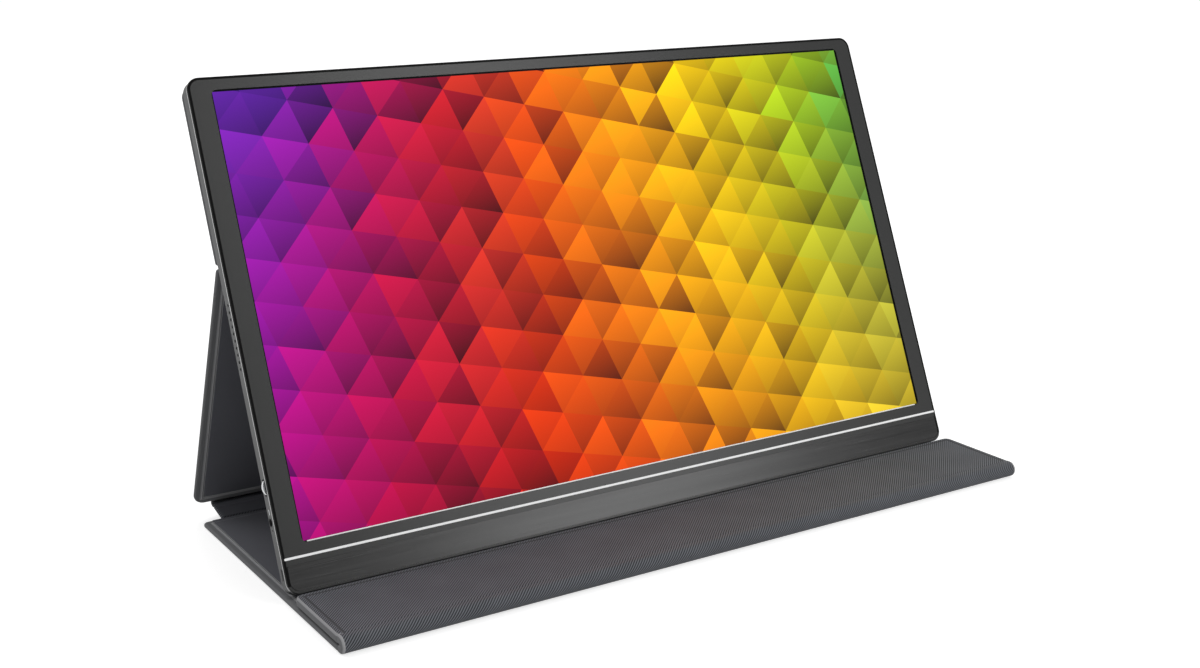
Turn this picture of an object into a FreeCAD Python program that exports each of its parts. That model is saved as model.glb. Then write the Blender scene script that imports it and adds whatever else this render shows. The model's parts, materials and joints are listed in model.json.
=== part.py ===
"""Portable monitor standing on its folding magnetic cover.

The frame: +X to the viewer's right, +Y to the back, +Z up, millimetres. The origin is the middle of the
base panel's underside. The monitor is drawn lying on its back (x right, y up the screen, z to the viewer)
and each cover panel lying flat with its outer face down, and every piece is then carried to its place.
"""
import FreeCAD, Part
import math
import os
import re

import Sketcher
from FreeCAD import Placement, Rotation, Vector

# Driving dimensions: name, value in millimetres or degrees, what it measures.
DIMENSIONS = [
    # monitor body
    ("side_border", 10.62, "picture's side edges to the body's sides"),
    ("chin_border", 21.25, "picture's lower edge to the body's lower edge"),
    ("body_depth", 8.0, "monitor, back to front"),
    ("corner_radius", 5.5, "corners of the monitor's outline"),
    ("side_wall", 1.2, "side walls of the rear housing"),
    ("rear_wall", 0.9, "floor of the rear housing"),
    ("rear_radius", 1.6, "round along the housing's rear edge"),
    ("bezel_depth", 1.2, "front frame, as seen from the side"),
    ("bezel_face", 0.7, "front frame's face"),
    ("edge_round", 0.4, "round along the front edge"),
    ("rim_width", 1.2, "plain rim of the front frame round the chin plate"),
    ("fit_gap", 0.1, "clearance between pieces that drop into each other"),
    # picture and chin
    ("picture_width", 344.16, "lit area of a 15.6-inch 16:9 panel"),
    ("picture_height", 193.59, "lit area of a 15.6-inch 16:9 panel"),
    ("picture_top", 6.56, "upper edge of the body to the picture"),
    ("window_border", 0.7, "dark border of the glass seen round the picture"),
    ("window_radius", 2.5, "corners of the front frame's window"),
    ("strip_drop", 6.0, "picture's lower edge to the middle of the trim strip"),
    ("strip_height", 1.0, "trim strip, as seen"),
    ("strip_depth", 0.5, "groove that holds the trim strip"),
    ("strip_proud", 0.05, "trim strip above the front face"),
    ("strip_end_gap", 0.8, "trim strip's end to the body's side"),
    ("chin_plate", 0.35, "metal plate let into the chin"),
    ("plate_drop", 2.1, "chin plate's upper edge below the trim strip"),
    ("plate_gap", 0.3, "open line round the chin plate"),
    # display panel
    ("panel_border", 3.92, "picture's side edges to the tray's sides"),
    ("panel_low", 13.0, "lower edge of the tray above the body's lower edge"),
    ("panel_margin", 2.6, "upper edge of the tray below the body's upper edge"),
    ("tray_floor", 0.3, "sheet of the panel's tray"),
    ("tray_wall", 0.4, "walls of the panel's tray"),
    ("reflector_thickness", 0.15, "white reflector sheet"),
    ("guide_thickness", 0.6, "light guide plate"),
    ("film_thickness", 0.3, "stack of diffuser films"),
    ("cell_thickness", 0.55, "liquid crystal cell"),
    ("tape_thickness", 0.1, "adhesive between front frame and cell"),
    ("tape_width", 1.8, "adhesive between front frame and cell"),
    ("led_bar_height", 3.0, "lamp bar along the light guide's lower edge"),
    ("flex_thickness", 0.15, "film conductors from the cell to the driver board"),
    ("flex_width", 24.0, "film conductors from the cell to the driver board"),
    ("flex_pitch", 70.0, "film conductors, middle to middle"),
    ("flex_lap", 3.0, "film conductors over the cell and the driver board"),
    ("driver_inset", 57.08, "picture's side edges to the driver board's ends"),
    ("driver_low", 3.5, "driver board above the body's lower edge"),
    ("driver_height", 8.0, "driver board, up the screen"),
    ("driver_thickness", 0.8, "driver board"),
    # posts and bosses of the rear housing
    ("post_radius", 3.0, "posts that carry the tray"),
    ("post_side", 32.7, "outer posts from the body's sides"),
    ("post_spread", 100.0, "inner posts, left to right"),
    ("post_low", 56.0, "lowest posts above the body's lower edge"),
    ("post_top", 15.4, "highest posts below the body's upper edge"),
    ("chin_post_radius", 2.0, "posts that carry the driver board"),
    ("boss_height", 0.4, "bosses that carry the boards"),
    ("boss_radius", 2.2, "bosses that carry the boards"),
    # boards, screws and cables
    ("board_thickness", 0.8, "circuit boards"),
    ("board_gap", 1.5, "boards to the housing's side walls"),
    ("main_width", 84.0, "main board, left to right"),
    ("main_low", 24.0, "main board above the body's lower edge"),
    ("speaker_clearance", 4.3, "main board's upper edge below the speaker box"),
    ("control_width", 20.0, "control board, left to right"),
    ("control_low", 4.0, "control board above the body's lower edge"),
    ("control_height", 50.0, "control board, up the screen"),
    ("chip_size", 16.0, "picture processor on the main board"),
    ("chip_thickness", 1.2, "picture processor on the main board"),
    ("screw_radius", 0.8, "screw shanks"),
    ("screw_head_radius", 1.6, "screw heads"),
    ("screw_head_height", 0.7, "screw heads"),
    ("screw_inset", 4.0, "screws from the corners of their board"),
    ("ribbon_thickness", 0.2, "flat cables"),
    ("ribbon_width", 6.0, "flat cable between the boards"),
    ("ribbon_low", 37.0, "flat cable between the boards above the lower edge"),
    ("ribbon_lap", 5.0, "flat cables over the boards"),
    ("cable_width", 10.0, "flat cable to the driver board"),
    # speakers
    ("speaker_low", 96.3, "lowest speaker hole above the lower edge"),
    ("speaker_pitch", 3.04, "speaker holes, middle to middle"),
    ("speaker_hole_radius", 0.7, "speaker holes"),
    ("speaker_level", 4.3, "speaker holes in front of the rear face"),
    ("speaker_depth", 12.0, "speaker box, left to right"),
    ("speaker_overlap", 6.0, "speaker box past the first and last hole"),
    ("speaker_wall", 0.6, "walls of the speaker box"),
    # sockets and controls on the left side
    ("jack_height", 31.4, "headphone socket above the lower edge"),
    ("jack_level", 3.1, "headphone socket in front of the rear face"),
    ("jack_bore_radius", 1.75, "headphone socket, 3.5 mm plug"),
    ("jack_nose_radius", 2.1, "headphone socket's nose"),
    ("jack_length", 15.5, "headphone socket, left to right"),
    ("jack_block_width", 6.0, "headphone socket's block"),
    ("light_height", 35.7, "status light above the lower edge"),
    ("light_length", 2.4, "status light window"),
    ("light_width", 0.7, "status light window"),
    ("light_level", 3.6, "status light in front of the rear face"),
    ("pinhole_height", 28.0, "reset pinhole above the lower edge"),
    ("pinhole_radius", 0.45, "reset pinhole"),
    ("jog_height", 46.0, "menu wheel above the lower edge"),
    ("jog_level", 4.2, "middle of the menu wheel in front of the rear face"),
    ("jog_radius", 4.5, "menu wheel"),
    ("jog_thickness", 1.6, "menu wheel"),
    ("jog_proud", 1.0, "menu wheel past the side wall"),
    ("jog_slot_length", 7.2, "opening for the menu wheel"),
    ("jog_slot_width", 2.6, "opening for the menu wheel"),
    ("jog_slot_wall", 0.5, "side wall thinned round the menu wheel"),
    ("jog_pin_radius", 0.75, "pin that the menu wheel turns on"),
    ("jog_pin_gap", 0.05, "running clearance of the menu wheel on its pin"),
    ("jog_travel", 0.4, "press of the menu wheel"),
    ("jog_carrier_width", 6.0, "carrier of the menu wheel, up the screen"),
    ("button_height", 9.3, "power button above the lower edge"),
    ("button_level", 3.8, "power button in front of the rear face"),
    ("button_length", 4.6, "power button, up the screen"),
    ("button_width", 1.5, "power button, back to front"),
    ("button_proud", 0.2, "power button past the side wall"),
    ("button_flange", 0.5, "collar that keeps the power button in"),
    ("button_travel", 0.35, "press of the power button"),
    ("switch_depth", 3.5, "push switches, left to right"),
    # sockets on the right side
    ("usb_low_height", 34.0, "lower round-ended socket above the lower edge"),
    ("usb_high_height", 50.0, "upper round-ended socket above the lower edge"),
    ("usb_width", 8.9, "round-ended socket, up the screen"),
    ("usb_thickness", 3.2, "round-ended socket, back to front"),
    ("usb_corner", 1.3, "round-ended socket's corners"),
    ("usb_length", 7.4, "round-ended socket, left to right"),
    ("hdmi_height", 70.0, "video socket above the lower edge"),
    ("hdmi_width", 11.2, "video socket, up the screen"),
    ("hdmi_thickness", 3.0, "video socket, back to front"),
    ("hdmi_corner", 0.6, "video socket's corners"),
    ("hdmi_length", 7.8, "video socket, left to right"),
    ("socket_shell", 0.3, "metal of the sockets' shells"),
    ("socket_tongue", 0.8, "tongue in the sockets"),
    # magnets
    ("magnet_length", 24.0, "magnets, left to right"),
    ("magnet_width", 8.0, "magnets, up the panel"),
    ("magnet_thickness", 1.0, "magnets"),
    ("magnet_pitch", 88.0, "magnets, middle to middle"),
    ("magnet_row", 40.0, "magnets from the upper edge of the monitor"),
    ("flap_magnet_row", 12.0, "flap magnets from the flap's free edge"),
    # cover
    ("cover_inset", 0.2, "cover's sides inside the body's sides"),
    ("cover_thickness", 2.4, "cover panels"),
    ("flap_thickness", 4.4, "folded front flap"),
    ("cloth", 0.6, "outer cloth, turned in round the edges"),
    ("hem", 5.5, "turned-in cloth seen on the inner side"),
    ("spine_hem", 2.0, "turned-in cloth of the spine"),
    ("cover_corner", 5.5, "rounded corners of the cover's panels"),
    ("base_corner", 2.0, "rear corners of the base"),
    ("flap_corner", 3.5, "free corners of the flap"),
    ("fold_corner", 0.8, "corners at a fold"),
    ("lining_corner", 1.5, "corners of the linings"),
    ("base_depth", 159.6, "base, front fold to rear edge"),
    ("flap_depth", 47.4, "flap, front fold to free edge"),
    ("flap_gap", 0.6, "air between base and flap"),
    ("fold_length", 5.1, "cloth of the front fold, past the panels"),
    ("fold_nose", 3.7, "lower bend of the front fold"),
    ("spine_length", 13.5, "spine, fold to fold"),
    ("spine_inset", 10.0, "spine's ends from the cover's sides"),
    ("leg_shortening", 3.0, "leg, fold to fold, short of the upper fold's height"),
    ("base_fold_gap", 0.5, "panels to the fold between base and spine"),
    ("spine_fold_gap", 1.8, "panels to the fold between spine and leg"),
    ("leg_fold_gap", 0.9, "panels to the fold between leg and back panel"),
    ("fold_height", 141.0, "upper fold above the monitor's lower edge"),
    ("back_margin", 0.8, "back panel below the monitor's upper edge"),
    ("magnet_gap", 0.2, "air between monitor and back panel"),
    # standing pose
    ("spine_rise", 18.2, "spine's rise from the base to the leg, degrees"),
    ("screen_setback", 52.6, "front fold to the screen's lower front edge"),
    ("rest_gap", 0.15, "air under the screen's lower edge"),
]
# Sizes that follow from the ones above.
DERIVED = [
    ("body_width", "picture_width + 2 * side_border", "monitor, left to right"),
    ("body_height", "picture_top + picture_height + chin_border", "monitor, lower edge to upper edge"),
    ("panel_width", "picture_width + 2 * panel_border", "display panel over its tray"),
    ("driver_width", "picture_width - 2 * driver_inset", "driver board of the panel"),
    ("cover_width", "body_width - 2 * cover_inset", "cover, left to right"),
    ("leg_length", "fold_height - leg_shortening", "leg, fold to fold"),
    ("main_height", "speaker_low - speaker_overlap - speaker_clearance - main_low", "main board's height"),
]
SPEAKER_HOLES = 10
MAGNETS = 4
FLEXES = 3

doc = FreeCAD.newDocument("portable_monitor")
sizes = doc.addObject("Spreadsheet::Sheet", "Sizes")
rows = DIMENSIONS + [(alias, "=" + text, note) for alias, text, note in DERIVED]
for row, (alias, content, note) in enumerate(rows, start=1):
    sizes.set(f"A{row}", note)
    sizes.set(f"B{row}", str(content))
    sizes.setAlias(f"B{row}", alias)
doc.recompute()

SUB_PARTS = []


# Formulas over the sheet's names


def formula(text):
    """The expression for a formula over the sheet's names."""
    functions = ("sin", "cos", "tan", "min", "max")
    return re.sub(r"[a-z_]{3,}", lambda m: m[0] if m[0] in functions else "Sizes." + m[0], str(text))


def size(text):
    """The number that a formula gives now."""
    return float(sizes.evalExpression(formula(text)))


def bind(thing, **formulas):
    """Binds properties of an object to formulas."""
    for name, text in formulas.items():
        thing.setExpression(name, formula(text))


STRIP_MIDDLE = "(chin_border - strip_drop)"
WALL_TOP = "(body_depth - bezel_depth)"
FACE_LOW = "(body_depth - bezel_face)"
CELL_TOP = f"({FACE_LOW} - tape_thickness)"
CELL_LOW = f"({CELL_TOP} - cell_thickness)"
FILM_LOW = f"({CELL_LOW} - film_thickness)"
GUIDE_LOW = f"({FILM_LOW} - guide_thickness)"
TRAY_TOP = f"({GUIDE_LOW} - reflector_thickness)"
TRAY_LOW = f"({TRAY_TOP} - tray_floor)"
PANEL_HEIGHT = "(body_height - panel_margin - panel_low)"
DRIVER_TOP = f"({CELL_LOW} - flex_thickness)"
DRIVER_LOW = f"({DRIVER_TOP} - driver_thickness)"
BOARD_LOW = "(rear_wall + boss_height)"
BOARD_TOP = f"({BOARD_LOW} + board_thickness)"
INNER_SIDE = "(body_width / 2 - side_wall)"
MAIN_RIGHT = f"({INNER_SIDE} - board_gap)"
MAIN_LEFT = f"({MAIN_RIGHT} - main_width)"
CONTROL_LEFT = f"(-{INNER_SIDE} + board_gap)"
CONTROL_RIGHT = f"({CONTROL_LEFT} + control_width)"
JOG_MIDDLE = "(jog_radius - jog_proud - body_width / 2)"
JOG_LOW = "(jog_level - jog_thickness / 2)"
FLAP_TOP = "(cover_thickness + flap_gap + flap_thickness)"
BASE_FRONT = "(fold_length - base_depth / 2)"
SPINE_WIDTH = "(cover_width - 2 * spine_inset)"


# Where the folds lie and how the panels stand


def turned(degrees, y, z):
    """A point of the side view turned about the origin."""
    angle = math.radians(degrees)
    return y * math.cos(angle) - z * math.sin(angle), y * math.sin(angle) + z * math.cos(angle)


def panel_frame(fold, degrees):
    """Placement of a flat panel whose fold line, at mid thickness, lies at the given point."""
    y, z = turned(degrees, 0, -size("cover_thickness") / 2)
    return Placement(Vector(0, fold[0] + y, fold[1] + z), Rotation(Vector(1, 0, 0), degrees))


def screen_pose(tilt):
    """Placement of the monitor, leaned back by a tilt, with its rounded lower edge on the base."""
    angle = math.radians(tilt)
    heel = size("rear_radius") * (math.cos(angle) + math.sin(angle) - 1)
    y = size("screen_setback - base_depth / 2") + size("body_depth") * math.cos(angle)
    z = size("cover_thickness + rest_gap") - heel
    return Placement(Vector(0, y, z), Rotation(Vector(1, 0, 0), 90 - tilt))


def fold_behind(screen):
    """The upper fold, in the side view, behind a monitor that stands at a placement."""
    point = screen.multVec(Vector(0, size("fold_height"), -size("magnet_gap + cover_thickness / 2")))
    return point.y, point.z


def settled_tilt(foot):
    """The tilt at which the leg just reaches from its foot to the fold behind the screen."""
    low, high = 0.0, 80.0
    for _ in range(60):
        middle = (low + high) / 2
        if math.dist(foot, fold_behind(screen_pose(middle))) > size("leg_length"):
            low = middle
        else:
            high = middle
    return (low + high) / 2


def heading(first, second):
    """Direction from one point of the side view to another, in degrees from the back."""
    return math.degrees(math.atan2(second[1] - first[1], second[0] - first[0]))


base_fold = (size("base_depth / 2 + base_fold_gap"), size("cover_thickness / 2"))
spine_angle = size("spine_rise")
spine_span = turned(spine_angle, size("spine_length"), 0)
spine_fold = (base_fold[0] + spine_span[0], base_fold[1] + spine_span[1])
screen_tilt = settled_tilt(spine_fold)
lean = 90 - screen_tilt
screen_frame = screen_pose(screen_tilt)
upper_fold = fold_behind(screen_frame)
leg_angle = heading(spine_fold, upper_fold)
fold_cloth = size(f"2 * fold_length - {FLAP_TOP}") + math.pi / 2 * size(f"{FLAP_TOP} - cloth")
flap_pivot = (size(BASE_FRONT) - fold_cloth / 2, size(FLAP_TOP) / 2)

FRAMES = {
    "screen": screen_frame,
    "base": Placement(Vector(0, size(BASE_FRONT), 0), Rotation()),
    "flap": Placement(Vector(0, size(BASE_FRONT), size(FLAP_TOP)), Rotation(Vector(0, 1, 0), 180)),
    "spine": panel_frame(base_fold, spine_angle),
    "leg": panel_frame(spine_fold, leg_angle),
    "back": panel_frame(upper_fold, lean),
    "stand": Placement(),
}


# Builders


def sub_part(thing, label, frame):
    """Names an object as a sub-part and carries it from the flat drawing to its place."""
    thing.Label = label
    thing.Placement = FRAMES[frame].multiply(thing.Placement)
    SUB_PARTS.append(thing)
    return thing


def new_body(label):
    """An empty body."""
    return doc.addObject("PartDesign::Body", label + "_body")


def new_sketch(body, role="XY_Plane", offset="0"):
    """A sketch on one of the body's own planes, moved along the plane's normal."""
    sketch = body.newObject("Sketcher::SketchObject", "Sketch")
    plane = next(item for item in body.Origin.OriginFeatures if item.Role == role)
    sketch.AttachmentSupport = (plane, [""])
    sketch.MapMode = "FlatFace"
    sketch.setExpression("AttachmentOffset.Base.z", formula(offset))
    return sketch


def constrain(sketch, text, *terms):
    """Adds a dimension to a sketch and binds it to a formula."""
    index = sketch.addConstraint(Sketcher.Constraint(*terms, size(text)))
    sketch.setExpression(f"Constraints[{index}]", formula(text))


def place_point(sketch, geometry, point, x, y):
    """Fixes one point of a sketch at two formulas."""
    constrain(sketch, x, "DistanceX", -1, 1, geometry, point)
    constrain(sketch, y, "DistanceY", -1, 1, geometry, point)


def add_circle(sketch, x, y, radius):
    """A circle."""
    circle = sketch.addGeometry(Part.Circle(Vector(size(x), size(y), 0), Vector(0, 0, 1), size(radius)))
    constrain(sketch, radius, "Radius", circle)
    place_point(sketch, circle, 3, x, y)


def add_rectangle(sketch, x, y, width, height, low_radius, high_radius=None):
    """A rectangle with rounded corners, from its middle in x and its lower edge in y.

    The two lower corners have one radius and the two upper ones may have another.
    """
    high_radius = high_radius or low_radius
    left, right = size(f"{x} - ({width}) / 2"), size(f"{x} + ({width}) / 2")
    low, high = size(y), size(f"{y} + {height}")
    small, large = size(low_radius), size(high_radius)

    def line(x_start, y_start, x_end, y_end):
        return sketch.addGeometry(Part.LineSegment(Vector(x_start, y_start, 0), Vector(x_end, y_end, 0)))

    def arc(x_middle, y_middle, radius, start):
        circle = Part.Circle(Vector(x_middle, y_middle, 0), Vector(0, 0, 1), radius)
        return sketch.addGeometry(Part.ArcOfCircle(circle, start, start + math.pi / 2))

    bottom = line(left + small, low, right - small, low)
    right_side = line(right, low + small, right, high - large)
    top = line(right - large, high, left + large, high)
    left_side = line(left, high - large, left, low + small)
    corners = [
        (bottom, arc(right - small, low + small, small, -math.pi / 2), right_side, low_radius),
        (right_side, arc(right - large, high - large, large, 0), top, high_radius),
        (top, arc(left + large, high - large, large, math.pi / 2), left_side, high_radius),
        (left_side, arc(left + small, low + small, small, math.pi), bottom, low_radius),
    ]
    for before, corner, after, radius in corners:
        sketch.addConstraint(Sketcher.Constraint("Tangent", before, 2, corner, 1))
        sketch.addConstraint(Sketcher.Constraint("Tangent", corner, 2, after, 1))
        constrain(sketch, radius, "Radius", corner)
    for edge in (bottom, top):
        sketch.addConstraint(Sketcher.Constraint("Horizontal", edge))
    for edge in (right_side, left_side):
        sketch.addConstraint(Sketcher.Constraint("Vertical", edge))
    constrain(sketch, width, "DistanceX", left_side, 1, right_side, 1)
    constrain(sketch, height, "DistanceY", bottom, 1, top, 1)
    constrain(sketch, f"{x} - ({width}) / 2", "DistanceX", -1, 1, left_side, 1)
    constrain(sketch, y, "DistanceY", -1, 1, bottom, 1)


def pad(body, sketch, length, middle=False):
    """Raises a sketch along its plane's normal."""
    feature = body.newObject("PartDesign::Pad", "Pad")
    feature.Profile = sketch
    feature.Midplane = middle
    bind(feature, Length=length)
    doc.recompute()
    return feature


def pocket(body, sketch, length, along_normal=False):
    """Cuts a sketch into the body, against its plane's normal unless told otherwise."""
    feature = body.newObject("PartDesign::Pocket", "Pocket")
    feature.Profile = sketch
    feature.Reversed = along_normal
    bind(feature, Length=length)
    before = feature.BaseFeature.Shape.Volume
    doc.recompute()
    if feature.Shape.Volume >= before:
        raise RuntimeError(f"a pocket in {body.Name} cuts nothing")
    return feature


def round_edges(body, chosen, radius):
    """Rounds the edges of the body's tip that a test picks."""
    tip = body.Tip
    names = [f"Edge{i}" for i, edge in enumerate(tip.Shape.Edges, start=1) if chosen(edge)]
    feature = body.newObject("PartDesign::Fillet", "Fillet")
    feature.Base = (tip, names)
    bind(feature, Radius=radius)
    doc.recompute()
    return feature


def plate(label, frame, z, thickness, *outline):
    """A flat plate with rounded corners."""
    body = new_body(label)
    sketch = new_sketch(body, offset=z)
    add_rectangle(sketch, *outline)
    pad(body, sketch, thickness)
    return sub_part(body, label, frame)


def block(x, y, z, length, width, height):
    """A box from its lowest corner."""
    box = doc.addObject("Part::Box", "Block")
    bind(box, Length=length, Width=width, Height=height)
    box.Placement.Base = Vector(size(x), size(y), size(z))
    return box


def rod(x, y, z, radius, height, axis=Vector(0, 0, 1)):
    """A round bar from the middle of its first end."""
    cylinder = doc.addObject("Part::Cylinder", "Rod")
    bind(cylinder, Radius=radius, Height=height)
    cylinder.Placement = Placement(Vector(size(x), size(y), size(z)), Rotation(Vector(0, 0, 1), axis))
    return cylinder


def fuse(*pieces):
    """Several pieces as one solid."""
    joined = doc.addObject("Part::MultiFuse", "Fuse")
    joined.Shapes = list(pieces)
    return joined


def cut(piece, tool):
    """One piece less another."""
    result = doc.addObject("Part::Cut", "Cut")
    result.Base = piece
    result.Tool = tool
    return result


def group(pieces):
    """Separate solids kept as one sub-part."""
    compound = doc.addObject("Part::Compound", "Group")
    compound.Links = list(pieces)
    return compound


def row_of(count, pitch):
    """Formulas for a centred row."""
    return [f"({i - (count - 1) / 2} * {pitch})" for i in range(count)]


# The monitor's housing and front

SCREW_PLACES = [
    (f"({MAIN_LEFT} + screw_inset)", "(main_low + screw_inset)"),
    (f"({MAIN_LEFT} + screw_inset)", "(main_low + main_height - screw_inset)"),
    (f"({MAIN_RIGHT} - 3 * screw_inset)", "(main_low + main_height - screw_inset)"),
    (f"({MAIN_RIGHT} - 3 * screw_inset)", "(main_low + screw_inset)"),
    (f"({CONTROL_RIGHT} - screw_inset)", "(control_low + 3 * screw_inset)"),
    (f"({CONTROL_RIGHT} - screw_inset)", "(control_low + control_height - screw_inset / 2)"),
]
SOCKETS = ("low", "high", "hdmi")


def socket_kind(socket):
    """Which set of sizes a socket has."""
    return "hdmi" if socket == "hdmi" else "usb"


def socket_height(socket):
    """Middle of a socket above the lower edge."""
    return "hdmi_height" if socket == "hdmi" else f"usb_{socket}_height"


def socket_level(socket):
    """Middle of a socket in front of the rear face: it stands on the main board."""
    return f"({BOARD_TOP} + {socket_kind(socket)}_thickness / 2)"


def rear_housing():
    """Metal tub with posts, bosses and the openings in its sides."""
    label = "rear_housing"
    body = new_body(label)
    outline = new_sketch(body)
    add_rectangle(outline, "0", "0", "body_width", "body_height", "corner_radius")
    pad(body, outline, WALL_TOP)
    round_edges(body, lambda edge: edge.BoundBox.ZMax < 0.01, "rear_radius")
    hollow = new_sketch(body, offset="rear_wall")
    add_rectangle(
        hollow, "0", "side_wall", "body_width - 2 * side_wall", "body_height - 2 * side_wall",
        "corner_radius - side_wall",
    )
    pocket(body, hollow, "body_depth", along_normal=True)

    posts = new_sketch(body, offset="rear_wall")
    post_high = "(body_height - post_top)"
    post_middle = f"((post_low + {post_high}) / 2)"
    for column in ("post_spread / 2", "(body_width / 2 - post_side)"):
        for post_row in (post_middle, post_high):
            add_circle(posts, column, post_row, "post_radius")
            add_circle(posts, f"-{column}", post_row, "post_radius")
    add_circle(posts, "post_spread / 2", "post_low", "post_radius")
    add_circle(posts, "-post_spread / 2", "post_low", "post_radius")
    pad(body, posts, f"{TRAY_LOW} - rear_wall")
    chin_posts = new_sketch(body, offset="rear_wall")
    for column in ("-driver_width / 3", "0", "driver_width / 3"):
        add_circle(chin_posts, column, "driver_low + driver_height / 2", "chin_post_radius")
    pad(body, chin_posts, f"{DRIVER_LOW} - rear_wall")
    bosses = new_sketch(body, offset="rear_wall")
    holes = new_sketch(body, offset=BOARD_LOW)
    for x, y in SCREW_PLACES:
        add_circle(bosses, x, y, "boss_radius")
        add_circle(holes, x, y, "screw_radius + fit_gap")
    pad(body, bosses, "boss_height")
    pocket(body, holes, "boss_height + rear_wall / 2")

    for side, reach in ((-1, True), (1, False)):
        openings = new_sketch(body, "YZ_Plane", f"{side} * (body_width / 2 + side_wall)")
        for i in range(SPEAKER_HOLES):
            height = f"speaker_low + {i} * speaker_pitch"
            add_circle(openings, height, "speaker_level", "speaker_hole_radius")
        if side < 0:
            add_circle(openings, "jack_height", "jack_level", "jack_nose_radius + fit_gap")
            add_circle(openings, "pinhole_height", "light_level", "pinhole_radius")
            side_slot(
                openings, "light_height", "light_level", "light_length", "light_width", "light_width / 4",
            )
            side_slot(
                openings, "jog_height", "jog_level", "jog_slot_length", "jog_slot_width", "jog_slot_wall",
            )
            side_slot(
                openings, "button_height", "button_level", "button_length + 2 * fit_gap",
                "button_width + 2 * fit_gap", "button_width / 2.2",
            )
        else:
            for socket in SOCKETS:
                kind = socket_kind(socket)
                side_slot(
                    openings, socket_height(socket), socket_level(socket), f"{kind}_width + 2 * fit_gap",
                    f"{kind}_thickness + 2 * fit_gap", f"{kind}_corner + fit_gap",
                )
        pocket(body, openings, "2 * side_wall + fit_gap", along_normal=reach)
    relief = new_sketch(body, "YZ_Plane", f"-{INNER_SIDE}")
    side_slot(relief, "jog_height", "jog_level", "2 * jog_radius", "jog_slot_width", "jog_slot_wall")
    pocket(body, relief, "side_wall - jog_slot_wall")
    sub_part(body, label, "screen")


def side_slot(sketch, height, level, length, width, radius):
    """A round-cornered opening in a side wall, from its middle."""
    add_rectangle(sketch, height, f"{level} - ({width}) / 2", length, width, radius)


def front_bezel():
    """Front frame with its window, the chin's recess and the trim strip's groove."""
    label = "front_bezel"
    body = new_body(label)
    skirt = new_sketch(body, offset=WALL_TOP)
    add_rectangle(skirt, "0", "0", "body_width", "body_height", "corner_radius")
    add_rectangle(
        skirt, "0", "side_wall", "body_width - 2 * side_wall", "body_height - 2 * side_wall",
        "corner_radius - side_wall",
    )
    pad(body, skirt, "bezel_depth - bezel_face")
    face = new_sketch(body, offset=FACE_LOW)
    add_rectangle(face, "0", "0", "body_width", "body_height", "corner_radius")
    add_rectangle(
        face, "0", f"chin_border - window_border", "picture_width + 2 * window_border",
        "picture_height + 2 * window_border", "window_radius",
    )
    pad(body, face, "bezel_face")
    half, high = size("body_width / 2"), size("body_height")
    front = size("body_depth")
    inset = size("corner_radius")

    def on_outline(edge):
        middle = edge.CenterOfMass
        outer = max(abs(middle.x) - half, -middle.y, middle.y - high) > -inset / 2
        return abs(edge.BoundBox.ZMin - front) < 0.01 and outer

    round_edges(body, on_outline, "edge_round")
    recess = new_sketch(body, offset="body_depth")
    add_rectangle(recess, *chin_outline("0"))
    pocket(body, recess, "chin_plate")
    groove = new_sketch(body, offset="body_depth")
    add_rectangle(groove, *strip_outline("fit_gap / 2"))
    pocket(body, groove, "strip_depth")
    sub_part(body, label, "screen")


def chin_outline(gap):
    """Outline of the chin plate, drawn in by a gap."""
    return (
        "0", f"rim_width + {gap}", f"body_width - 2 * rim_width - 2 * {gap}",
        f"{STRIP_MIDDLE} - strip_height / 2 - plate_drop - rim_width - 2 * {gap}",
        f"corner_radius - rim_width - {gap}", "fold_corner",
    )


def strip_outline(gap):
    """Outline of the trim strip, let out by a gap."""
    return (
        "0", f"{STRIP_MIDDLE} - strip_height / 2 - {gap}", f"body_width - 2 * strip_end_gap + 2 * {gap}",
        f"strip_height + 2 * {gap}", "strip_height / 2.2",
    )


def front_trim():
    """Chin plate and trim strip in the front frame."""
    plate("chin_panel", "screen", "body_depth - chin_plate", "chin_plate", *chin_outline("plate_gap"))
    plate(
        "trim_strip", "screen", "body_depth - strip_depth", "strip_depth + strip_proud",
        *strip_outline("0"),
    )


# The display panel behind the window


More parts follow.
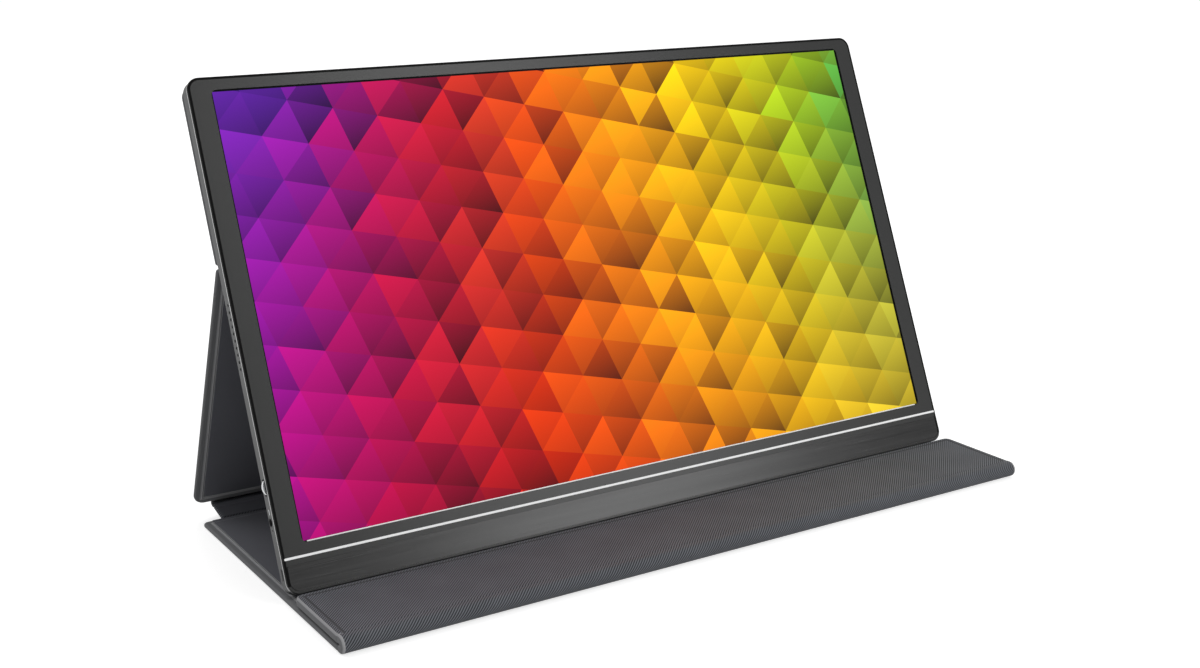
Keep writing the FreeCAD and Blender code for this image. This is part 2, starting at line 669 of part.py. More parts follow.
def display_panel():
    """Tray, reflector, light guide, lamp bar, films, cell and adhesive, from back to front."""
    inner_width = "panel_width - 2 * tray_wall - 2 * fit_gap"
    inner_left = f"-({inner_width}) / 2"
    inner_low = "panel_low + tray_wall + fit_gap"
    inner_height = f"{PANEL_HEIGHT} - 2 * tray_wall - 2 * fit_gap"
    tray = block(
        "-panel_width / 2", "panel_low", TRAY_LOW, "panel_width", PANEL_HEIGHT, f"{CELL_TOP} - {TRAY_LOW}"
    )
    hollow = block(
        "tray_wall - panel_width / 2", "panel_low + tray_wall", TRAY_TOP, "panel_width - 2 * tray_wall",
        f"{PANEL_HEIGHT} - 2 * tray_wall", "body_depth",
    )
    mouth = block(
        "tray_wall - panel_width / 2", "panel_low - tray_wall", DRIVER_TOP, "panel_width - 2 * tray_wall",
        "3 * tray_wall", "body_depth",
    )
    sub_part(cut(tray, fuse(hollow, mouth)), "panel_tray", "screen")

    def layer(label, low, thickness, drop):
        height = f"{inner_height} - ({drop})"
        layer = block(inner_left, f"{inner_low} + {drop}", low, inner_width, height, thickness)
        sub_part(layer, label, "screen")

    layer("reflector_sheet", TRAY_TOP, "reflector_thickness", "0")
    layer("light_guide", GUIDE_LOW, "guide_thickness", "led_bar_height + fit_gap")
    layer("diffuser_films", FILM_LOW, "film_thickness", "led_bar_height + flex_lap")
    layer("lcd_cell", CELL_LOW, "cell_thickness", "0")
    bar = block(inner_left, inner_low, GUIDE_LOW, inner_width, "led_bar_height", "guide_thickness")
    sub_part(bar, "led_bar", "screen")

    body = new_body("bezel_tape")
    ring = new_sketch(body, offset=CELL_TOP)
    border = "(window_border + tape_width)"
    for edge, radius in ((border, "window_radius + tape_width"), ("window_border", "window_radius")):
        width, height = f"picture_width + 2 * {edge}", f"picture_height + 2 * {edge}"
        add_rectangle(ring, "0", f"chin_border - {edge}", width, height, radius)
    pad(body, ring, "tape_thickness")
    sub_part(body, "bezel_tape", "screen")


def driver_electronics():
    """Driver board of the panel, its film conductors and its cable."""
    board = block(
        "-driver_width / 2", "driver_low", DRIVER_LOW, "driver_width", "driver_height", "driver_thickness"
    )
    sub_part(board, "driver_board", "screen")
    low = "driver_low + driver_height - flex_lap"
    reach = f"panel_low + tray_wall + fit_gap + led_bar_height - ({low})"
    films = [
        block(f"{x} - flex_width / 2", low, DRIVER_TOP, "flex_width", reach, "flex_thickness")
        for x in row_of(FLEXES, "flex_pitch")
    ]
    sub_part(group(films), "panel_flexes", "screen")

    start = size(f"{MAIN_LEFT} + 1.5 * ribbon_lap")
    path = [
        (size("driver_low"), size(f"{DRIVER_LOW} - ribbon_thickness")),
        (size("driver_low + driver_height"), size(f"{DRIVER_LOW} - ribbon_thickness")),
        (size("main_low - ribbon_lap / 2"), size(BOARD_TOP)),
        (size("main_low + ribbon_lap"), size(BOARD_TOP)),
    ]
    thickness = size("ribbon_thickness")
    outline = [Vector(start, y, z) for y, z in path]
    outline += [Vector(start, y, z + thickness) for y, z in reversed(path)]
    cable = doc.addObject("Part::Feature", "Cable")
    profile = Part.Face(Part.makePolygon(outline + outline[:1]))
    cable.Shape = profile.extrude(Vector(size("cable_width"), 0, 0))
    sub_part(cable, "panel_cable", "screen")


# Boards, sockets, speakers and magnets in the housing


def boards():
    """Main board, control board, the chip, the screws and the flat cable between the boards."""
    main = block(MAIN_LEFT, "main_low", BOARD_LOW, "main_width", "main_height", "board_thickness")
    control = block(
        CONTROL_LEFT, "control_low", BOARD_LOW, "control_width", "control_height", "board_thickness",
    )
    notch = block(
        f"{CONTROL_LEFT} - board_gap", "jack_height - jack_block_width / 2 - fit_gap", "0",
        "jack_length - side_wall + fit_gap", "jack_block_width + 2 * fit_gap", "body_depth",
    )
    holes = [rod(x, y, "0", "screw_radius + fit_gap", "body_depth") for x, y in SCREW_PLACES]
    sub_part(cut(main, fuse(*holes[:4])), "main_board", "screen")
    sub_part(cut(control, fuse(notch, *holes[4:])), "control_board", "screen")
    chip = block(
        f"({MAIN_LEFT} + {MAIN_RIGHT} - chip_size) / 2",
        "main_low + (main_height - chip_size) / 2", BOARD_TOP,
        "chip_size", "chip_size", "chip_thickness",
    )
    sub_part(chip, "picture_processor", "screen")
    screws = []
    for x, y in SCREW_PLACES:
        low = "rear_wall / 2 + fit_gap"
        shank = rod(x, y, low, "screw_radius", f"{BOARD_TOP} - rear_wall / 2 - fit_gap")
        head = rod(x, y, BOARD_TOP, "screw_head_radius", "screw_head_height")
        screws.append(fuse(shank, head))
    sub_part(group(screws), "board_screws", "screen")
    ribbon = block(
        f"{CONTROL_RIGHT} - ribbon_lap", "ribbon_low", BOARD_TOP,
        f"{MAIN_LEFT} - {CONTROL_RIGHT} + 2 * ribbon_lap", "ribbon_width", "ribbon_thickness",
    )
    sub_part(ribbon, "board_ribbon", "screen")


def headphone_jack():
    """Headphone socket: a block with a nose through the side wall and a blind bore."""
    inner = f"-{INNER_SIDE} + fit_gap"
    body = block(
        inner, "jack_height - jack_block_width / 2", "jack_level - jack_nose_radius",
        "jack_length - side_wall", "jack_block_width", "2 * jack_nose_radius",
    )
    along = Vector(1, 0, 0)
    nose = rod("-body_width / 2", "jack_height", "jack_level", "jack_nose_radius", "2 * side_wall", along)
    bore = rod(
        "-body_width / 2", "jack_height", "jack_level", "jack_bore_radius",
        "jack_length - side_wall", along,
    )
    sub_part(cut(fuse(body, nose), bore), "headphone_jack", "screen")


def side_sockets():
    """Two round-ended sockets and a video socket: shells with a closed back and a tongue."""
    names = {"low": "usb_c_socket_lower", "high": "usb_c_socket_upper", "hdmi": "mini_hdmi_socket"}
    for socket in SOCKETS:
        kind, height, level = socket_kind(socket), socket_height(socket), socket_level(socket)
        back = f"body_width / 2 - {kind}_length"
        body = new_body(names[socket])
        rear = new_sketch(body, "YZ_Plane", back)
        side_slot(rear, height, level, f"{kind}_width", f"{kind}_thickness", f"{kind}_corner")
        pad(body, rear, f"{kind}_length")
        hollow = new_sketch(body, "YZ_Plane", f"{back} + socket_tongue")
        side_slot(
            hollow, height, level,
            f"{kind}_width - 2 * socket_shell", f"{kind}_thickness - 2 * socket_shell",
            f"{kind}_corner - socket_shell / 2",
        )
        pocket(body, hollow, f"{kind}_length", along_normal=True)
        tongue = new_sketch(body, "YZ_Plane", f"{back} + socket_tongue / 2")
        side_slot(tongue, height, level, f"{kind}_width * 0.7", "socket_tongue", "socket_shell")
        pad(body, tongue, f"{kind}_length - 2 * socket_tongue")
        sub_part(body, names[socket], "screen")


def speakers():
    """A flat speaker box behind each row of holes, open to the holes."""
    length = f"{SPEAKER_HOLES - 1} * speaker_pitch + 2 * speaker_overlap"
    low = "speaker_low - speaker_overlap"
    tall = f"{TRAY_LOW} - rear_wall - fit_gap"
    for label, left, mouth in (
        ("speaker_left", f"-{INNER_SIDE} + fit_gap", f"-{INNER_SIDE} - side_wall"),
        ("speaker_right", f"{INNER_SIDE} - fit_gap - speaker_depth", f"{INNER_SIDE} - speaker_depth / 2"),
    ):
        box = block(left, low, "rear_wall", "speaker_depth", length, tall)
        chamber = block(
            mouth, f"{low} + speaker_wall", "rear_wall + speaker_wall", "speaker_depth / 2 + side_wall",
            f"{length} - 2 * speaker_wall", f"{tall} - 2 * speaker_wall",
        )
        sub_part(cut(box, chamber), label, "screen")


def magnet_row(y, z, thickness):
    """A row of flat magnets."""
    return [
        block(
            f"{x} - magnet_length / 2", f"{y} - magnet_width / 2", z,
            "magnet_length", "magnet_width", thickness,
        )
        for x in row_of(MAGNETS, "magnet_pitch")
    ]


def housing_magnets():
    """Magnets on the housing's floor, opposite the ones in the cover."""
    magnets = magnet_row("body_height - magnet_row", "rear_wall", "magnet_thickness")
    sub_part(group(magnets), "housing_magnets", "screen")


# Controls on the left side


def menu_wheel():
    """Menu wheel on its carrier, with the switch behind it."""
    wheel = rod(JOG_MIDDLE, "jog_height", JOG_LOW, "jog_radius", "jog_thickness")
    bore = rod(JOG_MIDDLE, "jog_height", "0", "jog_pin_radius + jog_pin_gap", "body_depth")
    sub_part(cut(wheel, bore), "menu_wheel", "screen")
    low = f"({BOARD_TOP} + fit_gap)"
    top = f"({JOG_LOW} - fit_gap)"
    arm = block(
        f"{JOG_MIDDLE} - 2 * jog_pin_radius", "jog_height - jog_carrier_width / 2", low,
        "jog_radius + 4 * jog_pin_radius", "jog_carrier_width", f"{top} - {low}",
    )
    pin = rod(JOG_MIDDLE, "jog_height", low, "jog_pin_radius", f"{JOG_LOW} + jog_thickness - {low}")
    sub_part(fuse(arm, pin), "menu_wheel_carrier", "screen")
    back = f"{JOG_MIDDLE} + jog_radius + 2 * jog_pin_radius + jog_travel + fit_gap"
    switch = block(
        back, "jog_height - jog_carrier_width / 2", BOARD_TOP,
        "switch_depth", "jog_carrier_width", f"{top} - {BOARD_TOP}",
    )
    sub_part(switch, "menu_switch", "screen")


def power_button():
    """Power button with its collar, the switch behind it and the status light's pipe."""
    body = new_body("power_button")
    collar_face = f"-{INNER_SIDE} + fit_gap"
    cap = new_sketch(body, "YZ_Plane", "-body_width / 2 - button_proud")
    side_slot(cap, "button_height", "button_level", "button_length", "button_width", "button_width / 2.2")
    pad(body, cap, "button_proud + side_wall + fit_gap + button_flange / 2")
    collar = new_sketch(body, "YZ_Plane", collar_face)
    side_slot(
        collar, "button_height", "button_level", "button_length + 2 * button_flange",
        "button_width + 2 * button_flange", "button_width / 2.2",
    )
    pad(body, collar, "button_flange")
    sub_part(body, "power_button", "screen")
    switch = block(
        f"{collar_face} + button_flange + button_travel + fit_gap",
        "button_height - button_length / 2", BOARD_TOP,
        "switch_depth", "button_length", f"button_level + button_width / 2 - {BOARD_TOP}",
    )
    sub_part(switch, "power_switch", "screen")
    pipe_low = "light_height - (light_length - fit_gap) / 2"
    pipe_back = "light_level - (light_width - fit_gap) / 2"
    window = block(
        "-body_width / 2", pipe_low, pipe_back,
        "side_wall + board_gap + fit_gap", "light_length - fit_gap", "light_width - fit_gap",
    )
    foot = block(
        CONTROL_LEFT, pipe_low, BOARD_TOP,
        "light_length", "light_length - fit_gap", f"{pipe_back} + light_width - fit_gap - {BOARD_TOP}",
    )
    sub_part(fuse(window, foot), "status_light_pipe", "screen")


# The cover


def cover_panel(prefix, frame, width, start, length, thickness, hem, low_corner, high_corner, magnets=None):
    """One stiff panel of the cover: outer cloth turned in round a board, with a lining in the opening.

    Args:
        prefix: what the panel is called.
        frame: where it stands.
        width, start, length: its outline, from the fold that it starts at.
        thickness: over cloth, board and lining.
        hem: turned-in cloth on the inner side.
        low_corner, high_corner: corner radii at the start and at the far end.
        magnets: distance of a row of magnets from the start, if there is one.
    """
    core = f"({thickness} - 2 * cloth)"

    def inset(edge):
        """Outline of the panel, drawn in."""
        return "0", f"{start} + {edge}", f"{width} - 2 * ({edge})", f"{length} - 2 * ({edge})"

    outline = (*inset("0"), low_corner, high_corner)
    inside = (*inset("cloth"), f"{low_corner} - cloth", f"{high_corner} - cloth")
    board_edge = "cloth + fit_gap"
    board_outline = (
        *inset(board_edge), f"{low_corner} - cloth - fit_gap", f"{high_corner} - cloth - fit_gap",
    )
    window = (*inset(hem), "lining_corner")
    lining_outline = (*inset(f"{hem} + fit_gap"), "lining_corner")

    body = new_body(f"{prefix}_skin")
    layers = (("0", "cloth", None), ("cloth", core, inside), (f"cloth + {core}", "cloth", window))
    for offset, height, opening in layers:
        sketch = new_sketch(body, offset=offset)
        add_rectangle(sketch, *outline)
        if opening:
            add_rectangle(sketch, *opening)
        pad(body, sketch, height)
    sub_part(body, f"{prefix}_skin", frame)

    board = new_body(f"{prefix}_board")
    sketch = new_sketch(board, offset="cloth")
    add_rectangle(sketch, *board_outline)
    pad(board, sketch, core)
    if magnets:
        pockets = new_sketch(board, offset=f"cloth + {core}")
        for x in row_of(MAGNETS, "magnet_pitch"):
            add_rectangle(
                pockets, x, f"{magnets} - magnet_width / 2 - fit_gap", "magnet_length + 2 * fit_gap",
                "magnet_width + 2 * fit_gap", "fit_gap",
            )
        pocket(board, pockets, "magnet_thickness")
        row = magnet_row(magnets, f"cloth + {core} - magnet_thickness", "magnet_thickness")
        sub_part(group(row), f"{prefix}_magnets", frame)
    sub_part(board, f"{prefix}_board", frame)
    plate(f"{prefix}_lining", frame, f"cloth + {core}", "cloth", *lining_outline)


def bent_cloth(label, frame, width, tail, degrees, outer):
    """Cloth round a fold between two panels: an arc about the fold line with a flat tail at each end.

    Args:
        label: what the cloth is called.
        frame: the frame of the panel before the fold, whose fold line is at the origin of that frame.
        width: along the fold.
        tail: flat cloth on each side.
        degrees: turn of the fold, a number.
        outer: True where the cloth lies on the panels' outer side, False on their inner side.
    """
    middle = size("cover_thickness / 2")
    along = Vector(1, 0, 0)
    left = f"-({width}) / 2"
    ring = rod(left, "0", "0", "cover_thickness / 2", width, along)
    core = rod(left, "0", "0", "cover_thickness / 2 - cloth", width, along)
    start = -90 if outer else 90 - degrees
    for bar in (ring, core):
        bar.Angle = degrees
        bar.Placement.Rotation = Rotation(along, start).multiply(Rotation(Vector(1, 1, 1), 120))
    flat = "-cover_thickness / 2" if outer else "cover_thickness / 2 - cloth"
    near = block(left, f"-{tail}", flat, width, tail, "cloth")
    far = block(left, "0", flat, width, tail, "cloth")
    swing = Placement(Vector(), Rotation(along, degrees if outer else -degrees))
    far.Placement = swing.multiply(far.Placement)
    strip = fuse(cut(ring, core), near, far)
    strip.Placement.Base = Vector(0, 0, middle)
    sub_part(strip, label, frame)


def front_fold_cloth():
    """Cloth that runs from under the base, round the front, to the top of the flap."""
    front, panels = -size("base_depth / 2"), size(BASE_FRONT)
    top, nose, cloth = size(FLAP_TOP), size("fold_nose"), size("cloth")
    brow = top - nose

    def bend(inset):
        """The cloth's profile, one face of it, drawn in by an inset."""
        low, high = nose - inset, brow - inset
        diagonal = math.sqrt(0.5)
        first = Part.Arc(
            Vector(0, front + nose, inset),
            Vector(0, front + nose - low * diagonal, nose - low * diagonal),
            Vector(0, front + inset, nose),
        )
        second = Part.Arc(
            Vector(0, front + inset, nose),
            Vector(0, front + brow - high * diagonal, nose + high * diagonal),
            Vector(0, front + brow, top - inset),
        )
        return [
            Part.LineSegment(Vector(0, panels, inset), Vector(0, front + nose, inset)),
            first,
            second,
            Part.LineSegment(Vector(0, front + brow, top - inset), Vector(0, panels, top - inset)),
        ]

    edges = [curve.toShape() for curve in bend(0) + bend(cloth)]
    for low, high in ((0, cloth), (top - cloth, top)):
        edges.append(Part.LineSegment(Vector(0, panels, low), Vector(0, panels, high)).toShape())
    wire = Part.Wire(Part.__sortEdges__(edges))
    width = size("cover_width")
    strip = doc.addObject("Part::Feature", "FrontFold")
    strip.Shape = Part.Face(wire).extrude(Vector(width, 0, 0))
    strip.Placement.Base = Vector(-width / 2, 0, 0)
    sub_part(strip, "front_fold_cloth", "stand")


def cover():
    """The five panels of the cover and the cloth of its folds."""
    cover_panel(
        "base", "base", "cover_width", "0", "base_depth - fold_length", "cover_thickness", "hem",
        "fold_corner", "base_corner",
    )
    cover_panel(
        "flap", "flap", "cover_width", "0", "flap_depth - fold_length", "flap_thickness", "hem",
        "fold_corner", "flap_corner", magnets="flap_depth - fold_length - flap_magnet_row",
    )
    cover_panel(
        "spine", "spine", SPINE_WIDTH, "base_fold_gap", "spine_length - base_fold_gap - spine_fold_gap",
        "cover_thickness", "spine_hem", "fold_corner", "fold_corner",
    )
    cover_panel(
        "leg", "leg", "cover_width", "spine_fold_gap", "leg_length - spine_fold_gap - leg_fold_gap",
        "cover_thickness", "hem", "cover_corner", "fold_corner",
    )
    cover_panel(
        "back", "back", "cover_width", "leg_fold_gap",
        "body_height - fold_height - back_margin - leg_fold_gap",
        "cover_thickness", "hem", "fold_corner", "cover_corner",
        magnets="body_height - fold_height - magnet_row",
    )
    FRAMES["base_end"] = panel_frame(base_fold, 0)
    FRAMES["spine_end"] = panel_frame(spine_fold, spine_angle)
    FRAMES["leg_end"] = panel_frame(upper_fold, leg_angle)
    bent_cloth("base_fold_cloth", "base_end", SPINE_WIDTH, "base_fold_gap", spine_angle, True)
    bent_cloth(
        "spine_fold_cloth", "spine_end", SPINE_WIDTH, "spine_fold_gap", leg_angle - spine_angle, True,
    )
    bent_cloth(
        "leg_fold_cloth", "leg_end", "cover_width - 2 * cloth", "leg_fold_gap", leg_angle - lean, False,
    )
    front_fold_cloth()


def check():
    """Stops if any object failed, or a sub-part's shape is empty or broken."""
    doc.recompute()
    failed = [item.Name for item in doc.Objects if {"Invalid", "Error"} & set(item.State)]
    bad = [part.Label for part in SUB_PARTS if part.Shape.isNull() or not part.Shape.isValid()]
    if failed or bad:
        raise RuntimeError(f"failed objects {failed}, bad shapes {bad}")


def write():
    """Writes each sub-part's shape to its own file, and prints where the joints lie."""
    os.makedirs("parts", exist_ok=True)
    for part in SUB_PARTS:
        part.Shape.exportStep(f"parts/{part.Label}.step")
    print(len(SUB_PARTS), "sub-parts, screen leaned back by", screen_tilt)
    print("flap fold", flap_pivot)
    print("base fold", base_fold, "turn", spine_angle)
    print("spine fold", spine_fold, "turn", leg_angle - spine_angle)
    print("upper fold", upper_fold, "turn", leg_angle - lean)
    for name, point in (
        ("menu wheel", (JOG_MIDDLE, "jog_height", "jog_level")),
        ("headphone socket", ("-body_width / 2", "jack_height", "jack_level")),
        ("lower socket", ("body_width / 2", "usb_low_height", socket_level("low"))),
        ("upper socket", ("body_width / 2", "usb_high_height", socket_level("high"))),
        ("video socket", ("body_width / 2", "hdmi_height", socket_level("hdmi"))),
    ):
        print(name, screen_frame.multVec(Vector(*[size(text) for text in point])))


rear_housing()
front_bezel()
front_trim()
display_panel()
driver_electronics()
boards()
headphone_jack()
side_sockets()
speakers()
housing_magnets()
menu_wheel()
power_button()
cover()
check()
write()
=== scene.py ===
"""Portable monitor on its folding magnetic cover, dressed for the studio.

The hard pieces of the monitor keep their modelled solids and get their finishes here. The cover's cloth,
its linings and its folds are made here and stand for the plain solids of the frame.
"""

import json
import logging
import math
from dataclasses import dataclass, field
from enum import Enum
from typing import Callable, Sequence

import bmesh
import bpy
from mathutils import Matrix, Vector

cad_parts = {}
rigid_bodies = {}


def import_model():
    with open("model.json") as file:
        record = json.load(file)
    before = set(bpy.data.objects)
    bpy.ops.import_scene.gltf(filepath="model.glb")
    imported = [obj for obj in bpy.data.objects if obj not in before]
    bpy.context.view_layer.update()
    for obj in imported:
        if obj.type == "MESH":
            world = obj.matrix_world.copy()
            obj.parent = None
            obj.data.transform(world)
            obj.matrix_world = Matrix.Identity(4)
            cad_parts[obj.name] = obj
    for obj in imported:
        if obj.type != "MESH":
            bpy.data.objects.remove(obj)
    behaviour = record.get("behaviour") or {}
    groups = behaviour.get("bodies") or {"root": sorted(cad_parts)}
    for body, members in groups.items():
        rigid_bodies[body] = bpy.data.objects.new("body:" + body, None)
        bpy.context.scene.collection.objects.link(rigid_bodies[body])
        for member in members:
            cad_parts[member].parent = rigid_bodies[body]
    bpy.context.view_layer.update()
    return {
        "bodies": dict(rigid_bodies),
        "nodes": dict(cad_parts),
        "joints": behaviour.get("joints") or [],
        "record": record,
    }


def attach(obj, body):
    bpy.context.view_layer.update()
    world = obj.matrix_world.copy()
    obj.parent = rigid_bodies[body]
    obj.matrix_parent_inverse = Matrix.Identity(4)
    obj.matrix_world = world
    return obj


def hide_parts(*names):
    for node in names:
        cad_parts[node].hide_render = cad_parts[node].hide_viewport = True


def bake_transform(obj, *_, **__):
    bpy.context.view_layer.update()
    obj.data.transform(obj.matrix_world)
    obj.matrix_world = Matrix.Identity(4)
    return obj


LOG = logging.getLogger("portable_monitor")
MM = 0.001
WELD = 1e-7  # metres, points closer than this are one
NEAR = 1e-6  # metres, points closer than this lie on one line
SHARP = 0.8  # radians, more than between the facets of a round
FACING = 0.99  # share of a normal that looks to one side
CORNER_SEGMENTS = 8
EDGE_SEGMENTS = 3

Triple = tuple[float, float, float]
Colour = Triple
BMesh = bmesh.types.BMesh
Material = bpy.types.Material
Socket = bpy.types.NodeSocket
Value = Socket | float | Sequence[float]


class Side(Enum):
    """The two faces of a cover panel."""

    OUTER = -1
    INNER = 1


class Trim(Enum):
    """The finishes of a cover piece, in the order of its material slots."""

    TWILL = 0
    EDGING = 1
    # light piping, also the painted highlight on rounded rims and on the front fold's end bands
    PIPING_AND_HIGHLIGHT = 2
    SEAM = 3
    LINING = 4


# Finishes


class Graph:
    """The node tree of a material or of the world, written by short calls."""

    MIX_FACTOR, MIX_FIRST, MIX_SECOND, MIX_RESULT = 0, 6, 7, 2
    WAVE_LENGTH = math.pi / 10

    def __init__(self, owner: Material | bpy.types.World, shader: str = "Principled BSDF") -> None:
        """Takes the tree that its owner starts with.

        Args:
            owner: what the tree belongs to.
            shader: the name of its shader.
        """
        owner.use_nodes = True
        self.tree = owner.node_tree
        self.shader = self.tree.nodes[shader]

    def add(self, kind: str, inputs: dict | None = None, **settings: object) -> bpy.types.Node:
        """Adds a node.

        Args:
            kind: the node's type, without its prefix.
            inputs: values or sockets for its inputs, by name or number.
            settings: the node's own properties.

        Returns:
            The new node.
        """
        node = self.tree.nodes.new("ShaderNode" + kind)
        for name, value in settings.items():
            setattr(node, name, value)
        for key, value in (inputs or {}).items():
            self.set(node, key, value)
        return node

    def set(self, node: bpy.types.Node, key: str | int, value: Value) -> None:
        """Sets or links one input of a node.

        Args:
            node: the node.
            key: the input's name or number.
            value: a number, a vector, a colour or another node's socket.
        """
        if isinstance(value, Socket):
            self.tree.links.new(value, node.inputs[key])
        else:
            node.inputs[key].default_value = value

    def shade(self, **values: Value) -> None:
        """Sets the shader's inputs.

        Args:
            values: numbers, colours or sockets, with underscores for the spaces in the inputs' names.
        """
        for name, value in values.items():
            if isinstance(value, tuple) and len(value) == 3:
                value = (*value, 1.0)
            self.set(self.shader, name.replace("_", " ").replace("Ior", "IOR"), value)

    def math(self, operation: str, *values: Value) -> Socket:
        """The result of a calculation on numbers or sockets."""
        return self.add("Math", dict(enumerate(values)), operation=operation).outputs[0]

    def mix(self, factor: Value, first: Value, second: Value, blend: str = "MIX") -> Socket:
        """Mixes two colours.

        Args:
            factor: share of the second.
            first, second: colours or sockets.
            blend: how they are mixed.

        Returns:
            The socket of the mixed colour.
        """
        colours = [(*c, 1.0) if isinstance(c, tuple) else c for c in (first, second)]
        inputs = {self.MIX_FACTOR: factor, self.MIX_FIRST: colours[0], self.MIX_SECOND: colours[1]}
        return self.add("Mix", inputs, data_type="RGBA", blend_type=blend).outputs[self.MIX_RESULT]

    def ramp(self, factor: Value, stops: Sequence[tuple[float, Colour]]) -> Socket:
        """Reads a colour off a row of stops.

        Args:
            factor: the place in the row, 0 to 1.
            stops: places and their colours.

        Returns:
            The socket of the colour.
        """
        node = self.add("ValToRGB", {"Fac": factor})
        elements = node.color_ramp.elements
        while len(elements) < len(stops):
            elements.new(1.0)
        for element, (place, colour) in zip(elements, stops):
            element.position = place
            element.color = (*colour, 1.0)
        return node.outputs[0]

    def place(self, source: str = "Object", location: Triple = (0, 0, 0), rotation: Triple = (0, 0, 0),
              scale: Triple = (1, 1, 1)) -> Socket:
        """Coordinates of the piece, turned and scaled by a mapping.

        Args:
            source: the kind of coordinates, Object or UV.
            location, rotation, scale: the mapping's own values.

        Returns:
            The socket of the mapped coordinates.
        """
        raw = self.add("TexCoord").outputs[source]
        inputs = {"Vector": raw, "Location": location, "Rotation": rotation, "Scale": scale}
        return self.add("Mapping", inputs).outputs[0]

    def noise(self, vector: Socket, scale: float, detail: float = 3.0, roughness: float = 0.55) -> Socket:
        """Soft noise between 0 and 1."""
        inputs = {"Vector": vector, "Scale": scale, "Detail": detail, "Roughness": roughness}
        return self.add("TexNoise", inputs).outputs[0]

    def bands(self, vector: Socket, pitch: float, distortion: float = 0.0) -> Socket:
        """Even bands across the first coordinate, a pitch apart."""
        scale = self.WAVE_LENGTH / pitch
        inputs = {"Vector": vector, "Scale": scale, "Distortion": distortion, "Detail": 1.0}
        return self.add("TexWave", inputs, wave_type="BANDS", bands_direction="X").outputs[1]

    def bump(self, height: Socket, distance: float, strength: float = 1.0) -> None:
        """Gives the shader a relief."""
        inputs = {"Height": height, "Distance": distance, "Strength": strength}
        self.set(self.shader, "Normal", self.add("Bump", inputs).outputs[0])

    def seen(self) -> Socket:
        """1 for the rays that show the surface itself, by sight, gloss or glass."""
        path = self.add("LightPath").outputs
        mirrored = self.math("MAXIMUM", path["Is Glossy Ray"], path["Is Transmission Ray"])
        return self.math("MAXIMUM", path["Is Camera Ray"], mirrored)


def shades(colour: Colour, spread: float) -> list[Colour]:
    """A colour made darker and lighter by a share of itself."""
    return [tuple(min(1.0, c * (1 + way * spread)) for c in colour) for way in (-1, 1)]


@dataclass(frozen=True)
class Finish:
    """A surface that is drawn as a material.

    Args:
        name: what the material is called.
    """

    name: str

    def draw(self, graph: Graph) -> None:
        """Writes the material's nodes; each kind of finish has its own."""
        raise NotImplementedError

    def material(self) -> Material:
        """Makes the finish's material."""
        material = bpy.data.materials.new(self.name)
        self.draw(Graph(material))
        return material


@dataclass(frozen=True)
class MouldedFinish(Finish):
    """Moulded plastic, rubber, plated or cast metal: a fine grain and a little unevenness."""

    colour: Colour
    roughness: float = 0.45
    metallic: float = 0.0
    grain: float = 0.35 * MM
    relief: float = 0.012 * MM
    spread: float = 0.12
    gloss: float = 0.5
    cloud_scale: float = 40.0
    unevenness: float = 0.12

    def draw(self, graph: Graph) -> None:
        """Draws the finish.

        Args:
            graph: the material's nodes.
        """
        place = graph.place()
        cloud = graph.noise(place, self.cloud_scale)
        fine = graph.noise(place, 1.0 / self.grain, 2.0)
        smoothest = self.roughness - self.unevenness / 2
        graph.shade(
            Base_Color=graph.mix(cloud, *shades(self.colour, self.spread)),
            Metallic=self.metallic,
            Roughness=graph.math("MULTIPLY_ADD", fine, self.unevenness, smoothest),
            Specular_Ior_Level=self.gloss,
        )
        graph.bump(fine, self.relief)


@dataclass(frozen=True)
class BrushedFinish(Finish):
    """Metal brushed along the screen's width."""

    colour: Colour
    roughness: float = 0.24
    streak: float = 0.5 * MM
    length: float = 36 * MM
    spread: float = 0.7
    broad_scale: Triple = (7.0, 420.0, 420.0)
    broad_share: float = 0.4
    metallic: float = 0.85
    unevenness: float = 0.2
    relief: float = 0.01 * MM

    def draw(self, graph: Graph) -> None:
        """Draws the finish.

        Args:
            graph: the material's nodes.
        """
        along = graph.place(scale=(1 / self.length, 1 / self.streak, 1 / self.streak))
        streaks = graph.noise(along, 1.0, 4.0, 0.7)
        broad = graph.noise(graph.place(scale=self.broad_scale), 1.0, 2.0)
        fine = graph.math("MULTIPLY", streaks, 1 - self.broad_share)
        both = graph.math("MULTIPLY_ADD", broad, self.broad_share, fine)
        smoothest = self.roughness - self.unevenness / 2
        graph.shade(
            Base_Color=graph.mix(both, *shades(self.colour, self.spread)),
            Metallic=self.metallic,
            Roughness=graph.math("MULTIPLY_ADD", streaks, self.unevenness, smoothest),
        )
        graph.bump(streaks, self.relief)


